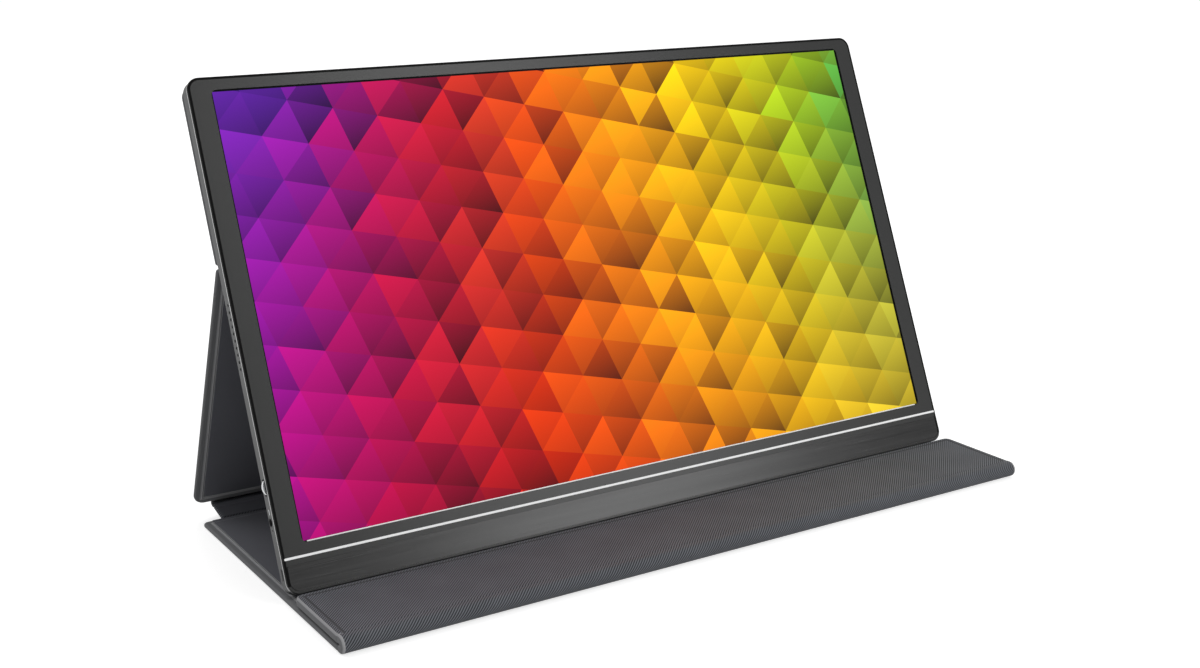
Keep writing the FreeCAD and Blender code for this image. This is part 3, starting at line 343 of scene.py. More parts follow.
@dataclass(frozen=True)
class TwillFinish(Finish):
    """Cover cloth with a fine diagonal rib, laid on the piece's own unrolled coordinates.

    Its cloud and its fuzz are each given by scale and share. Its valleys and the crossings of its threads
    are darkened as painted shade in the weave's hollows.
    """

    shaded_valley: Colour
    rib: Colour
    pitch: float = 1.0 * MM
    relief: float = 0.16 * MM
    slant: float = 45.0
    thread_pitch: float = 0.62 * MM
    thread_depth: float = 0.25
    cloud: tuple[float, float] = (55.0, 0.25)
    fuzz: tuple[float, float] = (2600.0, 0.3)

    def draw(self, graph: Graph) -> None:
        """Draws the finish.

        Args:
            graph: the material's nodes.
        """
        flat = graph.place("UV")
        slanted = graph.place("UV", rotation=(0, 0, math.radians(self.slant)))
        across = graph.place("UV", rotation=(0, 0, math.radians(-self.slant)))
        ribs = graph.bands(slanted, self.pitch, 0.35)
        threads = graph.bands(across, self.thread_pitch, 0.6)
        cloud = graph.noise(flat, self.cloud[0], 4.0)
        fuzz = graph.noise(flat, self.fuzz[0], 2.0)
        # Painted shade: the thread crossings, and through the dark valley colour the hollows between the ribs,
        # are darkened.
        shaded = graph.math("MULTIPLY_ADD", threads, self.thread_depth, 1 - self.thread_depth)
        weave = graph.math("MULTIPLY", ribs, shaded)
        tone = weave
        for cover, share in ((cloud, self.cloud[1]), (fuzz, self.fuzz[1])):
            tone = graph.math("MULTIPLY_ADD", graph.math("SUBTRACT", cover, 0.5), share, tone)
        graph.shade(Base_Color=graph.mix(tone, self.shaded_valley, self.rib), Roughness=0.82, Sheen_Weight=0.05,
                    Sheen_Roughness=0.45, Specular_Ior_Level=0.25)
        graph.bump(graph.math("MULTIPLY_ADD", fuzz, 0.25, weave), self.relief, 0.8)


@dataclass(frozen=True)
class SuedeFinish(Finish):
    """Smooth lining with a short, slightly uneven nap."""

    colour: Colour
    relief: float = 0.05 * MM
    spread: float = 0.2
    cloud_scale: float = 28.0
    nap_scale: float = 1900.0
    nap_share: float = 0.5

    def draw(self, graph: Graph) -> None:
        """Draws the finish.

        Args:
            graph: the material's nodes.
        """
        flat = graph.place("UV")
        cloud = graph.noise(flat, self.cloud_scale, 4.0)
        nap = graph.noise(flat, self.nap_scale, 3.0, 0.7)
        soft = graph.math("MULTIPLY", cloud, 1 - self.nap_share)
        tone = graph.math("MULTIPLY_ADD", nap, self.nap_share, soft)
        colour = graph.mix(tone, *shades(self.colour, self.spread))
        graph.shade(Base_Color=colour, Roughness=0.88, Sheen_Weight=0.1, Sheen_Roughness=0.4,
                    Specular_Ior_Level=0.25)
        graph.bump(nap, self.relief, 0.7)


@dataclass(frozen=True)
class BoardFinish(Finish):
    """Circuit board: lacquer over copper tracks."""

    lacquer: Colour
    copper: Colour
    cell: float = 420.0
    track: float = 0.28
    cloud_scale: float = 90.0
    relief: float = 0.02 * MM

    def draw(self, graph: Graph) -> None:
        """Draws the finish.

        Args:
            graph: the material's nodes.
        """
        place = graph.place(scale=(self.cell, self.cell, self.cell))
        cells = graph.add("TexVoronoi", {"Vector": place, "Scale": 1.0}, distance="CHEBYCHEV")
        track = graph.math("LESS_THAN", cells.outputs["Distance"], self.track)
        cloud = graph.noise(graph.place(), self.cloud_scale)
        base = graph.mix(graph.math("MULTIPLY", track, 0.5), self.lacquer, self.copper)
        clouded = graph.mix(graph.math("MULTIPLY", cloud, 0.4), base, self.lacquer)
        graph.shade(Base_Color=clouded, Roughness=0.4)
        graph.bump(track, self.relief)


@dataclass(frozen=True)
class DisplayFinish(Finish):
    """A lit panel that shows a mosaic of small triangles in a sweep of colours, with a dark border."""

    centre: Vector
    lean: float
    width: float = 344.16 * MM
    height: float = 193.59 * MM
    tile: float = 21.0 * MM
    slant: float = 14.0
    jitter: float = 0.07
    fall: float = 0.28
    contrast: float = 0.8
    level: float = 0.38
    darkest: float = 0.1

    TOP = ((0.0, (0.04, 0.02, 0.42)), (0.07, (0.20, 0.01, 0.42)), (0.15, (0.42, 0.0, 0.12)),
           (0.27, (0.62, 0.01, 0.02)), (0.41, (0.82, 0.09, 0.0)), (0.55, (0.92, 0.34, 0.0)),
           (0.69, (0.95, 0.70, 0.0)), (0.85, (0.38, 0.60, 0.01)), (1.0, (0.0, 0.32, 0.06)))
    LOW = ((0.0, (0.40, 0.0, 0.40)), (0.11, (0.48, 0.0, 0.18)), (0.23, (0.46, 0.0, 0.05)),
           (0.41, (0.62, 0.01, 0.0)), (0.58, (0.82, 0.08, 0.0)), (0.74, (0.92, 0.26, 0.0)),
           (0.88, (0.94, 0.46, 0.0)), (1.0, (0.92, 0.58, 0.01)))

    def tiles(self, graph: Graph, local: Socket) -> tuple[list, list]:
        """Splits the panel into triangles.

        Args:
            graph: the material's nodes.
            local: place on the panel, from its middle.

        Returns:
            The middle of the triangle at each place, as two sockets, and the place inside it, as two more.
        """
        turn = (0, 0, math.radians(self.slant))
        turned = graph.add("Mapping", {"Vector": local, "Rotation": turn}).outputs[0]
        x, y, _ = graph.add("SeparateXYZ", {0: turned}).outputs
        skew = 1 / math.sqrt(3)
        row = graph.math("MULTIPLY", y, 2 * skew / self.tile)
        wide = graph.math("MULTIPLY", x, 1 / self.tile)
        column = graph.math("SUBTRACT", wide, graph.math("MULTIPLY", row, 0.5))
        cells = [graph.math("FLOOR", value) for value in (column, row)]
        inside = [graph.math("SUBTRACT", value, cell) for value, cell in zip((column, row), cells)]
        upper = graph.math("GREATER_THAN", graph.math("ADD", *inside), 1.0)
        third = graph.math("MULTIPLY_ADD", upper, 1 / 3, 1 / 3)
        return [graph.math("ADD", cell, third) for cell in cells], inside

    def draw(self, graph: Graph) -> None:
        """Draws the finish.

        Args:
            graph: the material's nodes.
        """
        turn = Matrix.Rotation(-self.lean, 3, "X")
        local = graph.place(location=tuple(-(turn @ self.centre)), rotation=(-self.lean, 0, 0))
        axes = graph.add("SeparateXYZ", {0: local}).outputs
        edges = [
            graph.math("COMPARE", graph.math("MULTIPLY", axis, 1 / length), 0.0, 0.5)
            for axis, length in ((axes[0], self.width), (axes[1], self.height))
        ]
        (column, row), (near, high) = self.tiles(graph, local)
        cell = graph.add("CombineXYZ", {0: column, 1: row}).outputs[0]
        lot = graph.add("TexWhiteNoise", {"Vector": cell}, noise_dimensions="2D").outputs[0]
        wide = graph.math("MULTIPLY_ADD", row, 0.5, column)
        across = graph.math("MULTIPLY_ADD", wide, self.tile / self.width, 0.5)
        across = graph.math("SUBTRACT", across, self.jitter / 2)
        across = graph.math("MULTIPLY_ADD", lot, self.jitter, across)
        up = graph.math("MULTIPLY_ADD", row, self.tile * math.sqrt(3) / 2 / self.height, 0.5)
        sweep = graph.mix(up, graph.ramp(across, self.LOW), graph.ramp(across, self.TOP))
        fall = graph.math("MULTIPLY", graph.math("SUBTRACT", high, near), self.fall)
        shade = graph.math("MULTIPLY_ADD", lot, self.contrast, graph.math("ADD", fall, self.level))
        picture = graph.mix(1.0, sweep, graph.math("MAXIMUM", shade, self.darkest), "MULTIPLY")
        lit = graph.mix(graph.math("MULTIPLY", *edges), (0.0, 0.0, 0.0), picture)
        graph.shade(Base_Color=(0.004, 0.004, 0.005), Roughness=0.5, Specular_Ior_Level=0.04,
                    Emission_Color=lit, Emission_Strength=1.0)


# Pieces


def new_piece(name: str, mesh: BMesh, place: Matrix, *materials: Material,
              smooth: float = 40.0) -> bpy.types.Object:
    """Makes an object of a finished mesh.

    Args:
        name: what the piece is called.
        mesh: its mesh; it is freed.
        place: from the mesh to where it stands.
        materials: its finishes.
        smooth: the angle, in degrees, past which an edge stays sharp.

    Returns:
        The new object, at the origin.
    """
    bmesh.ops.transform(mesh, matrix=place, verts=mesh.verts)
    bmesh.ops.recalc_face_normals(mesh, faces=mesh.faces)
    for face in mesh.faces:
        face.smooth = True
    for edge in mesh.edges:
        edge.smooth = len(edge.link_faces) < 2 or edge.calc_face_angle(0.0) < math.radians(smooth)
    data = bpy.data.meshes.new(name)
    mesh.to_mesh(data)
    mesh.free()
    for material in materials:
        data.materials.append(material)
    piece = bpy.data.objects.new(name, data)
    bpy.context.collection.objects.link(piece)
    LOG.info("%s: %d faces", name, len(data.polygons))
    return piece


def bevel(mesh: BMesh, edges: Sequence[bmesh.types.BMEdge], offset: float, segments: int) -> None:
    """Rounds edges of a mesh."""
    bmesh.ops.bevel(mesh, geom=list(edges), offset=offset, offset_type="OFFSET", segments=segments,
                    profile=0.5, affect="EDGES", material=-1, clamp_overlap=True)


def split(mesh: BMesh, point: Vector, normal: Vector, drop: bool = False) -> list[bmesh.types.BMEdge]:
    """Draws a line round a mesh where a plane meets it.

    Args:
        mesh: the mesh.
        point, normal: of the plane.
        drop: whether what lies behind the plane goes.

    Returns:
        The edges of the cut.
    """
    made = bmesh.ops.bisect_plane(mesh, geom=mesh.verts[:] + mesh.edges[:] + mesh.faces[:], dist=WELD,
                                  plane_co=point, plane_no=normal, clear_inner=drop)
    return [item for item in made["geom_cut"] if isinstance(item, bmesh.types.BMEdge)]


def lay_flat(mesh: BMesh, unroll: Callable[[Vector], tuple[float, float]]) -> None:
    """Writes the unrolled coordinates of each corner to the mesh's UV map.

    Args:
        mesh: the mesh.
        unroll: gives the coordinates, in metres, of a point.
    """
    layer = mesh.loops.layers.uv.new("UVMap")
    for face in mesh.faces:
        for corner in face.loops:
            corner[layer].uv = unroll(corner.vert.co)


def slab(width: float, start: float, length: float, low: float, high: float,
         corners: tuple[float, float]) -> BMesh:
    """A plate with rounded corners.

    Args:
        width: along X, about the middle.
        start, length: along Y.
        low, high: along Z.
        corners: corner radii at the start and at the far end.

    Returns:
        The mesh.
    """
    mesh = bmesh.new()
    bmesh.ops.create_cube(mesh, size=1.0)
    bmesh.ops.scale(mesh, vec=(width, length, high - low), verts=mesh.verts)
    bmesh.ops.translate(mesh, vec=(0, start + length / 2, (low + high) / 2), verts=mesh.verts)
    middle = start + length / 2
    for radius, far in zip(corners, (False, True)):
        upright = [
            edge for edge in mesh.edges
            if abs(edge.verts[0].co.z - edge.verts[1].co.z) > (high - low) / 2
            and len(edge.link_faces) == 2 and edge.calc_face_angle(0.0) > SHARP
            and (edge.verts[0].co.y > middle) == far
        ]
        bevel(mesh, upright, radius, CORNER_SEGMENTS)
    return mesh


def flat_face(mesh: BMesh, side: Side) -> bmesh.types.BMFace:
    """The large face of a plate on one side."""
    facing = [face for face in mesh.faces if face.normal.z * side.value > FACING]
    return max(facing, key=lambda face: face.calc_area())


def rim_edges(mesh: BMesh, sides: Sequence[Side]) -> list[bmesh.types.BMEdge]:
    """The edges round the large faces of a plate."""
    mesh.normal_update()
    return list({edge for side in sides for edge in flat_face(mesh, side).edges})


def inset(mesh: BMesh, face: bmesh.types.BMFace, width: float, depth: float) -> None:
    """Draws a face's outline in, and moves the face along its normal."""
    bmesh.ops.inset_region(mesh, faces=[face], thickness=width, depth=depth, use_even_offset=True)


# The cover


@dataclass(frozen=True)
class Line:
    """A line pressed into a panel, or raised from it, along its sides and its free end.

    Args:
        side: the face that it runs on.
        inset: from the panel's outline to the middle of the line.
        width: of the line.
        height: above the face; a pressed line's is negative.
        trim: its finish.
    """

    side: Side
    inset: float
    width: float
    height: float
    trim: Trim


SEAM = Line(Side.OUTER, 3.3 * MM, 1.1 * MM, -0.3 * MM, Trim.SEAM)
# raised light line inside the hem: lighter binding, partly a painted highlight on the raised bead
PIPING_AND_HIGHLIGHT = Line(Side.INNER, 3.5 * MM, 1.8 * MM, 0.25 * MM, Trim.PIPING_AND_HIGHLIGHT)


@dataclass
class Panel:
    """One stiff panel of the cover: cloth turned in round a board, with a lining let in on the inner side.

    Args:
        name: what the panel is called, as in the frame's nodes.
        body: the body that it rides on.
        place: from the panel lying flat, outer side down, to where it stands.
        width, start, length, thickness: its size, from the fold that it starts at.
        corners: corner radii at the start and at the far end.
        hem, fold_hems: turned-in cloth on the inner side, at the sides and at the two ends.
        lining_corners: corner radii of the lining.
        edge_round: of the cloth's edges.
        lining_rise, lining_sink: how far the lining stands above the hem and reaches below it.
        lines: pressed or raised along the border.
        free_start: whether the free end is the start.
        plain_end: whether the free end has the main cloth and no rim.
        fanned: how far the ends run out towards the far side.
    """

    FLAT = 0.97
    # with FLAT, bounds the slope of the rim faces that get a painted highlight
    HIGHLIGHT_SLOPE = 0.3
    FAN_STEPS = 8
    FAN_ROUND = 0.6
    CLOTH_SEGMENTS = 5

    name: str
    body: str
    place: Matrix
    width: float
    start: float
    length: float
    thickness: float
    corners: tuple[float, float]
    hem: float = 4.4 * MM
    fold_hems: tuple[float, float] = (0.4 * MM, 0.4 * MM)
    lining_corners: tuple[float, float] = (0.5 * MM, 0.5 * MM)
    edge_round: float = 1.0 * MM
    lining_rise: float = 0.2 * MM
    lining_sink: float = 0.3 * MM
    lines: tuple[Line, ...] = (SEAM, PIPING_AND_HIGHLIGHT)
    free_start: bool = False
    plain_end: bool = False
    fanned: float = 0.0

    def unroll(self, point: Vector) -> tuple[float, float]:
        """Coordinates of the cloth at a point of the flat panel, measured towards the fold on the flap."""
        way = -1.0 if self.place.to_3x3()[0][0] < 0 else 1.0
        return way * point.x, point.y + point.z

    def cut(self, mesh: BMesh, axis: int, place: float) -> None:
        """Draws a line round the panel across one axis.

        Args:
            mesh: the panel's mesh.
            axis: 0 for X, 1 for Y.
            place: where on that axis.
        """
        normal = Vector((0, 0, 0))
        normal[axis] = 1.0
        split(mesh, normal * place, normal)

    def depth(self, point: Vector) -> float:
        """How far a point lies inside the panel's sides and its free end."""
        end = point.y - self.start if self.free_start else self.start + self.length - point.y
        return min(self.width / 2 - abs(point.x), end)

    def face_level(self, side: Side) -> float:
        """Height of the panel's outer or inner face."""
        return 0.0 if side is Side.OUTER else self.thickness - self.lining_rise

    def press(self, mesh: BMesh, line: Line) -> None:
        """Presses a line into a face, or raises it, along the two sides and the free end.

        Args:
            mesh: the panel's mesh.
            line: the line.
        """
        for offset in (-line.width / 2, 0.0, line.width / 2):
            deep = line.inset + offset
            self.cut(mesh, 0, self.width / 2 - deep)
            self.cut(mesh, 0, deep - self.width / 2)
            self.cut(mesh, 1, self.start + deep if self.free_start else self.start + self.length - deep)
        level = self.face_level(line.side)
        for vert in mesh.verts:
            if abs(vert.co.z - level) < NEAR and abs(self.depth(vert.co) - line.inset) < NEAR:
                vert.co.z += line.height * line.side.value

    def bind(self, mesh: BMesh) -> None:
        """Gives the border its finishes: a painted highlight on the rim's rounded edge, the pressed and raised
        lines, and plain edging between them.

        Args:
            mesh: the panel's mesh.
        """
        mesh.normal_update()
        for face in mesh.faces:
            middle = face.calc_center_median()
            depth = self.depth(middle)
            side = Side.INNER if face.normal.z > 0.5 else Side.OUTER
            trim = Trim.EDGING if side is Side.INNER or depth < SEAM.inset else Trim.TWILL
            at_end = self.width / 2 - abs(middle.x) > depth
            if self.plain_end and side is Side.OUTER and (at_end or face.normal.z < -self.FLAT):
                trim = Trim.TWILL
            # Painted highlight: rim faces that slope towards the outer side take the light piping finish.
            painted_highlight_rim = depth < SEAM.inset - SEAM.width / 2 and middle.z > self.edge_round / 100
            if painted_highlight_rim and -self.FLAT < face.normal.z < -self.HIGHLIGHT_SLOPE and trim is Trim.EDGING:
                trim = Trim.PIPING_AND_HIGHLIGHT
            for line in self.lines:
                if side is line.side and abs(depth - line.inset) < line.width / 2:
                    trim = line.trim
            face.material_index = trim.value

    def fan(self, mesh: BMesh) -> None:
        """Lets the panel's ends run out in an S-curve towards its far side.

        Args:
            mesh: the panel's mesh.
        """
        for i in range(1, self.FAN_STEPS):
            self.cut(mesh, 1, self.start + self.length * i / self.FAN_STEPS)
        for vert in mesh.verts:
            share = min(1.0, max(0.0, (vert.co.y - self.start) / self.length))
            ease = share * share * (3 - 2 * share)
            vert.co.x += math.copysign(self.fanned * ease, vert.co.x)

    def cloth(self, *materials: Material) -> bpy.types.Object:
        """The outer cloth with its rounded edges, pressed line and hem.

        Args:
            materials: the finishes, in the order of Trim.

        Returns:
            The piece, which stands for the panel's plain skin.
        """
        high = self.thickness - self.lining_rise
        mesh = slab(self.width, self.start, self.length, 0.0, high, self.corners)
        if self.fanned:
            self.fan(mesh)
            sharp = [edge for edge in mesh.edges if edge.calc_face_angle(0.0) > SHARP]
            bevel(mesh, sharp, self.edge_round * self.FAN_ROUND, EDGE_SEGMENTS)
        else:
            bevel(mesh, rim_edges(mesh, (Side.OUTER, Side.INNER)), self.edge_round, self.CLOTH_SEGMENTS)
        for line in self.lines:
            self.press(mesh, line)
        if self.lines:
            self.bind(mesh)
        lay_flat(mesh, self.unroll)
        piece = new_piece(f"{self.name}_cover", mesh, self.place, *materials)
        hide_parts(f"{self.name}_skin")
        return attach(piece, self.body)

    def lining(self, material: Material) -> bpy.types.Object:
        """The lining on the inner side, slightly crowned.

        Args:
            material: its finish.

        Returns:
            The piece, which stands for the panel's plain lining.
        """
        high = self.thickness
        low = high - self.lining_rise - self.lining_sink
        near, far = self.fold_hems
        mesh = slab(self.width - 2 * self.hem, self.start + near, self.length - near - far, low, high,
                    self.lining_corners)
        if self.fanned:
            self.fan(mesh)
        bevel(mesh, rim_edges(mesh, (Side.INNER,)), self.lining_rise * 0.9, EDGE_SEGMENTS)
        lay_flat(mesh, self.unroll)
        piece = new_piece(f"{self.name}_inner_cloth", mesh, self.place, material)
        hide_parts(f"{self.name}_lining")
        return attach(piece, self.body)


@dataclass
class FoldCloth:
    """Cloth that turns round a fold: straight runs and bends, drawn out from one line along the cover.

    Args:
        name: what the piece is called.
        node: the plain solid that it stands for.
        bodies: the bodies before and after the fold.
        place: from the drawing to where it lies.
        width: along the fold.
        start: first point of the profile, in the drawing's Y and Z.
        steps: ("run", y, z) moves on in a line; ("bend", y, z, degrees) turns about a centre.
        thickness: of the cloth, towards the inner side.
        bend_segments: steps of a bend.
        side: the side of the panels that the cloth lies on.
        band, band_trim: width and finish of the border at the two ends.
        inner_trim: finish of the inner side.
        end_round: of the ends' edges.
        ends: where the cloth begins and ends to turn, in the drawing.
    """

    SMOOTH = 35.0
    FACING_END = 0.9

    name: str
    node: str
    bodies: tuple[str, str]
    place: Matrix
    width: float
    start: tuple[float, float]
    steps: Sequence[tuple]
    thickness: float
    bend_segments: int
    side: Side
    band: float = 1.2 * MM
    band_trim: Trim = Trim.EDGING
    inner_trim: Trim = Trim.TWILL
    end_round: float = 0.0
    ends: tuple[Vector, Vector] = field(default_factory=lambda: (Vector(), Vector()))

    def profile(self) -> tuple[BMesh, list[tuple[Vector, float]]]:
        """The cloth drawn out along its profile.

        Returns:
            A closed strip with the cloth's thickness, and points of the profile with their distances.
        """
        mesh = bmesh.new()
        y, z = self.start
        inner = z - self.thickness * self.side.value
        end = mesh.faces.new([
            mesh.verts.new((x * self.width / 2, y, height))
            for x, height in ((-1, z), (1, z), (1, inner), (-1, inner))
        ])
        track = [(Vector((0, y, z)), 0.0)]
        for step in self.steps:
            at, length = track[-1]
            goal = Vector((0, step[1], step[2]))
            if step[0] == "run":
                made = bmesh.ops.extrude_face_region(mesh, geom=[end])["geom"]
                moved = [item for item in made if isinstance(item, bmesh.types.BMVert)]
                bmesh.ops.translate(mesh, vec=goal - at, verts=moved)
                track.append((goal, length + (goal - at).length))
            else:
                angle = math.radians(step[3])
                made = bmesh.ops.spin(
                    mesh, geom=[end, *end.edges, *end.verts], cent=goal, axis=(1, 0, 0), angle=angle,
                    steps=self.bend_segments,
                )["geom_last"]
                for i in range(1, self.bend_segments + 1):
                    share = i / self.bend_segments
                    point = goal + Matrix.Rotation(angle * share, 3, "X") @ (at - goal)
                    track.append((point, length + (at - goal).length * abs(angle) * share))
            end = next(item for item in made if isinstance(item, bmesh.types.BMFace))
        return mesh, track

    def build(self, *materials: Material) -> bpy.types.Object:
        """The piece, with its place baked into its mesh.

        Args:
            materials: the finishes, in the order of Trim.

        Returns:
            The piece, which stands for the fold's plain solid.
        """
        mesh, track = self.profile()
        bmesh.ops.remove_doubles(mesh, verts=mesh.verts, dist=WELD)

        def outside(verts: Sequence[bmesh.types.BMVert]) -> bool:
            """Whether all these points lie on the outer side of the cloth."""
            gaps = [min((item[0].yz - vert.co.yz).length for item in track) for vert in verts]
            return max(gaps) < self.thickness / 4

        if self.end_round:
            rims = [
                edge for edge in mesh.edges
                if edge.verts[0].co.x * edge.verts[1].co.x > 0 and outside(edge.verts)
            ]
            bevel(mesh, rims, self.end_round, EDGE_SEGMENTS)
        inside = self.width / 2 - self.band
        for place in (-inside, inside):
            split(mesh, Vector((place, 0, 0)), Vector((1, 0, 0)))
        mesh.normal_update()
        for face in mesh.faces:
            trim = Trim.TWILL if outside(face.verts) else self.inner_trim
            if abs(face.calc_center_median().x) > inside:
                trim = Trim.EDGING if abs(face.normal.x) > self.FACING_END else self.band_trim
            face.material_index = trim.value

        def unroll(point: Vector) -> tuple[float, float]:
            """Coordinates of the cloth at a point of the profile."""
            nearest = min(track, key=lambda item: (item[0].yz - point.yz).length)
            return point.x, nearest[1]

        lay_flat(mesh, unroll)
        piece = new_piece(self.name, mesh, self.place, *materials, smooth=self.SMOOTH)
        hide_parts(self.node)
        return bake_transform(piece, *self.bodies, start=self.place @ self.ends[0], end=self.place @ self.ends[1])


@dataclass
class Cover:
    """The folding cover: base, front flap, spine, leg and back panel, with the cloth of their folds.

    Args:
        folds: the place of each fold's hinge, by its name.
        lean: of the screen and the back panel, from lying flat.
    """

    folds: dict[str, Vector]
    lean: float
    width: float = 365.0 * MM
    thickness: float = 2.4 * MM
    flap_thickness: float = 4.4 * MM
    flap_top: float = 7.4 * MM
    front: float = -79.8 * MM
    fold_length: float = 5.1 * MM
    fold_nose: float = 3.7 * MM
    base_length: float = 154.5 * MM
    flap_length: float = 43.6 * MM
    leg_length: float = 135.3 * MM
    back_length: float = 78.7 * MM
    spine_width: float = 345.4 * MM
    spine_fan: float = 0.5 * MM
    spine_length: float = 11.2 * MM
    base_gap: float = 0.5 * MM
    spine_gap: float = 1.8 * MM
    leg_gap: float = 0.9 * MM
    corner: float = 5.5 * MM
    flap_corner: float = 3.5 * MM
    fold_corner: float = 1.4 * MM
    rear_corner: float = 2.2 * MM
    lining_corner: float = 2.5 * MM
    flap_round: float = 1.2 * MM
    spine_hem: float = 0.8 * MM
    front_cloth: float = 3.0 * MM
    front_lap: float = 0.4 * MM
    front_round: float = 0.8 * MM
    nose_strip: float = 0.1 * MM
    nose_segments: int = 25
    bent_cloth: float = 0.55 * MM
    bent_segments: int = 6
    leg_fold_short: float = 2.0 * MM

    def heading(self, first: str, second: str) -> float:
        """Angle of the panel between two folds."""
        run = self.folds[second] - self.folds[first]
        return math.atan2(run.z, run.y)

    def standing(self, fold: str, angle: float) -> Matrix:
        """Where a panel that starts at a fold stands."""
        turn = Matrix.Rotation(angle, 4, "X")
        return Matrix.Translation(self.folds[fold]) @ turn @ Matrix.Translation((0, 0, -self.thickness / 2))

    def panels(self) -> list[Panel]:
        """The five panels."""
        rear = self.front + self.fold_length
        base_place = Matrix.Translation((0, rear, 0))
        flap_place = Matrix.Translation((0, rear, self.flap_top)) @ Matrix.Rotation(math.pi, 4, "Y")
        spine = self.heading("spine_fold", "leg_fold")
        leg = self.heading("leg_fold", "screen_fold")
        plain, soft, hem = self.fold_corner, self.corner, Panel.hem
        low, high = (hem, Panel.fold_hems[1]), (Panel.fold_hems[0], hem)
        low_lining, high_lining = (self.lining_corner, plain), (plain, self.lining_corner)
        return [
            Panel("base", "base", base_place, self.width, 0.0, self.base_length, self.thickness,
                  (plain, self.rear_corner)),
            Panel("flap", "flap", flap_place, self.width, 0.0, self.flap_length, self.flap_thickness,
                  (plain, self.flap_corner), fold_hems=high, lining_corners=high_lining,
                  edge_round=self.flap_round, plain_end=True),
            Panel("spine", "spine", self.standing("spine_fold", spine), self.spine_width, self.base_gap,
                  self.spine_length, self.thickness, (plain, plain), hem=self.spine_hem, lines=(),
                  fanned=self.spine_fan),
            Panel("leg", "leg", self.standing("leg_fold", leg), self.width, self.spine_gap,
                  self.leg_length, self.thickness, (soft, plain), fold_hems=low, lining_corners=low_lining,
                  free_start=True),
            Panel("back", "back_panel", self.standing("screen_fold", self.lean), self.width, self.leg_gap,
                  self.back_length, self.thickness, (plain, soft), fold_hems=high,
                  lining_corners=high_lining),
        ]

    def front_fold(self) -> FoldCloth:
        """The cloth round the front, from under the base to the top of the flap.

        Returns:
            The fold's cloth: its lower half runs under the base and its upper half over the flap.
        """
        rear, nose = self.front + self.fold_length, self.fold_nose
        steps = [
            ("run", self.front + nose, 0.0),
            ("bend", self.front + nose, nose, -180.0),
            ("run", rear + self.front_lap, self.flap_top),
        ]
        half = self.nose_strip / 2
        ends = (Vector((0, rear, nose - half)), Vector((0, rear, nose + half)))
        # The end bands take the light piping finish: a painted highlight on their rounded edges.
        return FoldCloth("front_fold_cover", "front_fold_cloth", ("base", "flap"), Matrix(), self.width,
                         (rear, 0.0), steps, self.front_cloth, self.nose_segments, Side.OUTER,
                         band_trim=Trim.PIPING_AND_HIGHLIGHT, inner_trim=Trim.LINING, end_round=self.front_round,
                         ends=ends)

    def bent_fold(self, node: str, bodies: tuple[str, str], place: Matrix, width: float, tail: float,
                  turn: float, side: Side) -> FoldCloth:
        """The cloth round a fold between two panels.

        Args:
            node: the plain solid that it stands for.
            bodies: the bodies before and after the fold.
            place: the panel before the fold, with the fold at its origin.
            width: along the fold.
            tail: flat cloth on each side.
            turn: angle between the two panels.
            side: the side of the panels that the cloth lies on.

        Returns:
            The fold's cloth.
        """
        middle = self.thickness / 2
        level = 0.0 if side is Side.OUTER else self.thickness
        angle = turn if side is Side.OUTER else -turn
        tip = Vector((0, 0, middle)) + Matrix.Rotation(angle, 3, "X") @ Vector((0, tail, level - middle))
        steps = [("run", 0.0, level), ("bend", 0.0, middle, math.degrees(angle)), ("run", tip.y, tip.z)]
        ends = (Vector((0, -tail, level)), tip)
        return FoldCloth(node.replace("cloth", "cover"), node, bodies, place, width, (-tail, level), steps,
                         self.bent_cloth, self.bent_segments, side, ends=ends)

    def fold_cloths(self) -> list[FoldCloth]:
        """The cloth of the four folds."""
        spine = self.heading("spine_fold", "leg_fold")
        leg = self.heading("leg_fold", "screen_fold")
        wide = self.spine_width + 2 * self.spine_fan
        return [
            self.front_fold(),
            self.bent_fold("base_fold_cloth", ("base", "spine"), self.standing("spine_fold", 0.0),
                           self.spine_width, self.base_gap, spine, Side.OUTER),
            self.bent_fold("spine_fold_cloth", ("spine", "leg"), self.standing("leg_fold", spine), wide,
                           self.spine_gap, leg - spine, Side.OUTER),
            self.bent_fold("leg_fold_cloth", ("leg", "back_panel"), self.standing("screen_fold", leg),
                           self.width - self.leg_fold_short, self.leg_gap, leg - self.lean, Side.INNER),
        ]

    def build(self) -> None:
        """Makes and dresses every piece of the cover."""
        trims = [
            TwillFinish("charcoal_twill", (0.008, 0.009, 0.011), (0.170, 0.178, 0.198)).material(),
            SuedeFinish("grey_edging", (0.150, 0.152, 0.158), 0.03 * MM).material(),
            # lighter binding, also used as a painted highlight on rounded rims and end bands
            SuedeFinish("light_piping_and_highlight", (0.300, 0.302, 0.310), 0.02 * MM).material(),
            SuedeFinish("dark_seam", (0.045, 0.046, 0.050), 0.03 * MM).material(),
        ]
        suede = SuedeFinish("slate_lining", (0.098, 0.100, 0.115)).material()
        for panel in self.panels():
            panel.cloth(*trims)
            panel.lining(suede)
        for fold in self.fold_cloths():
            fold.build(*trims, suede)


# The monitor


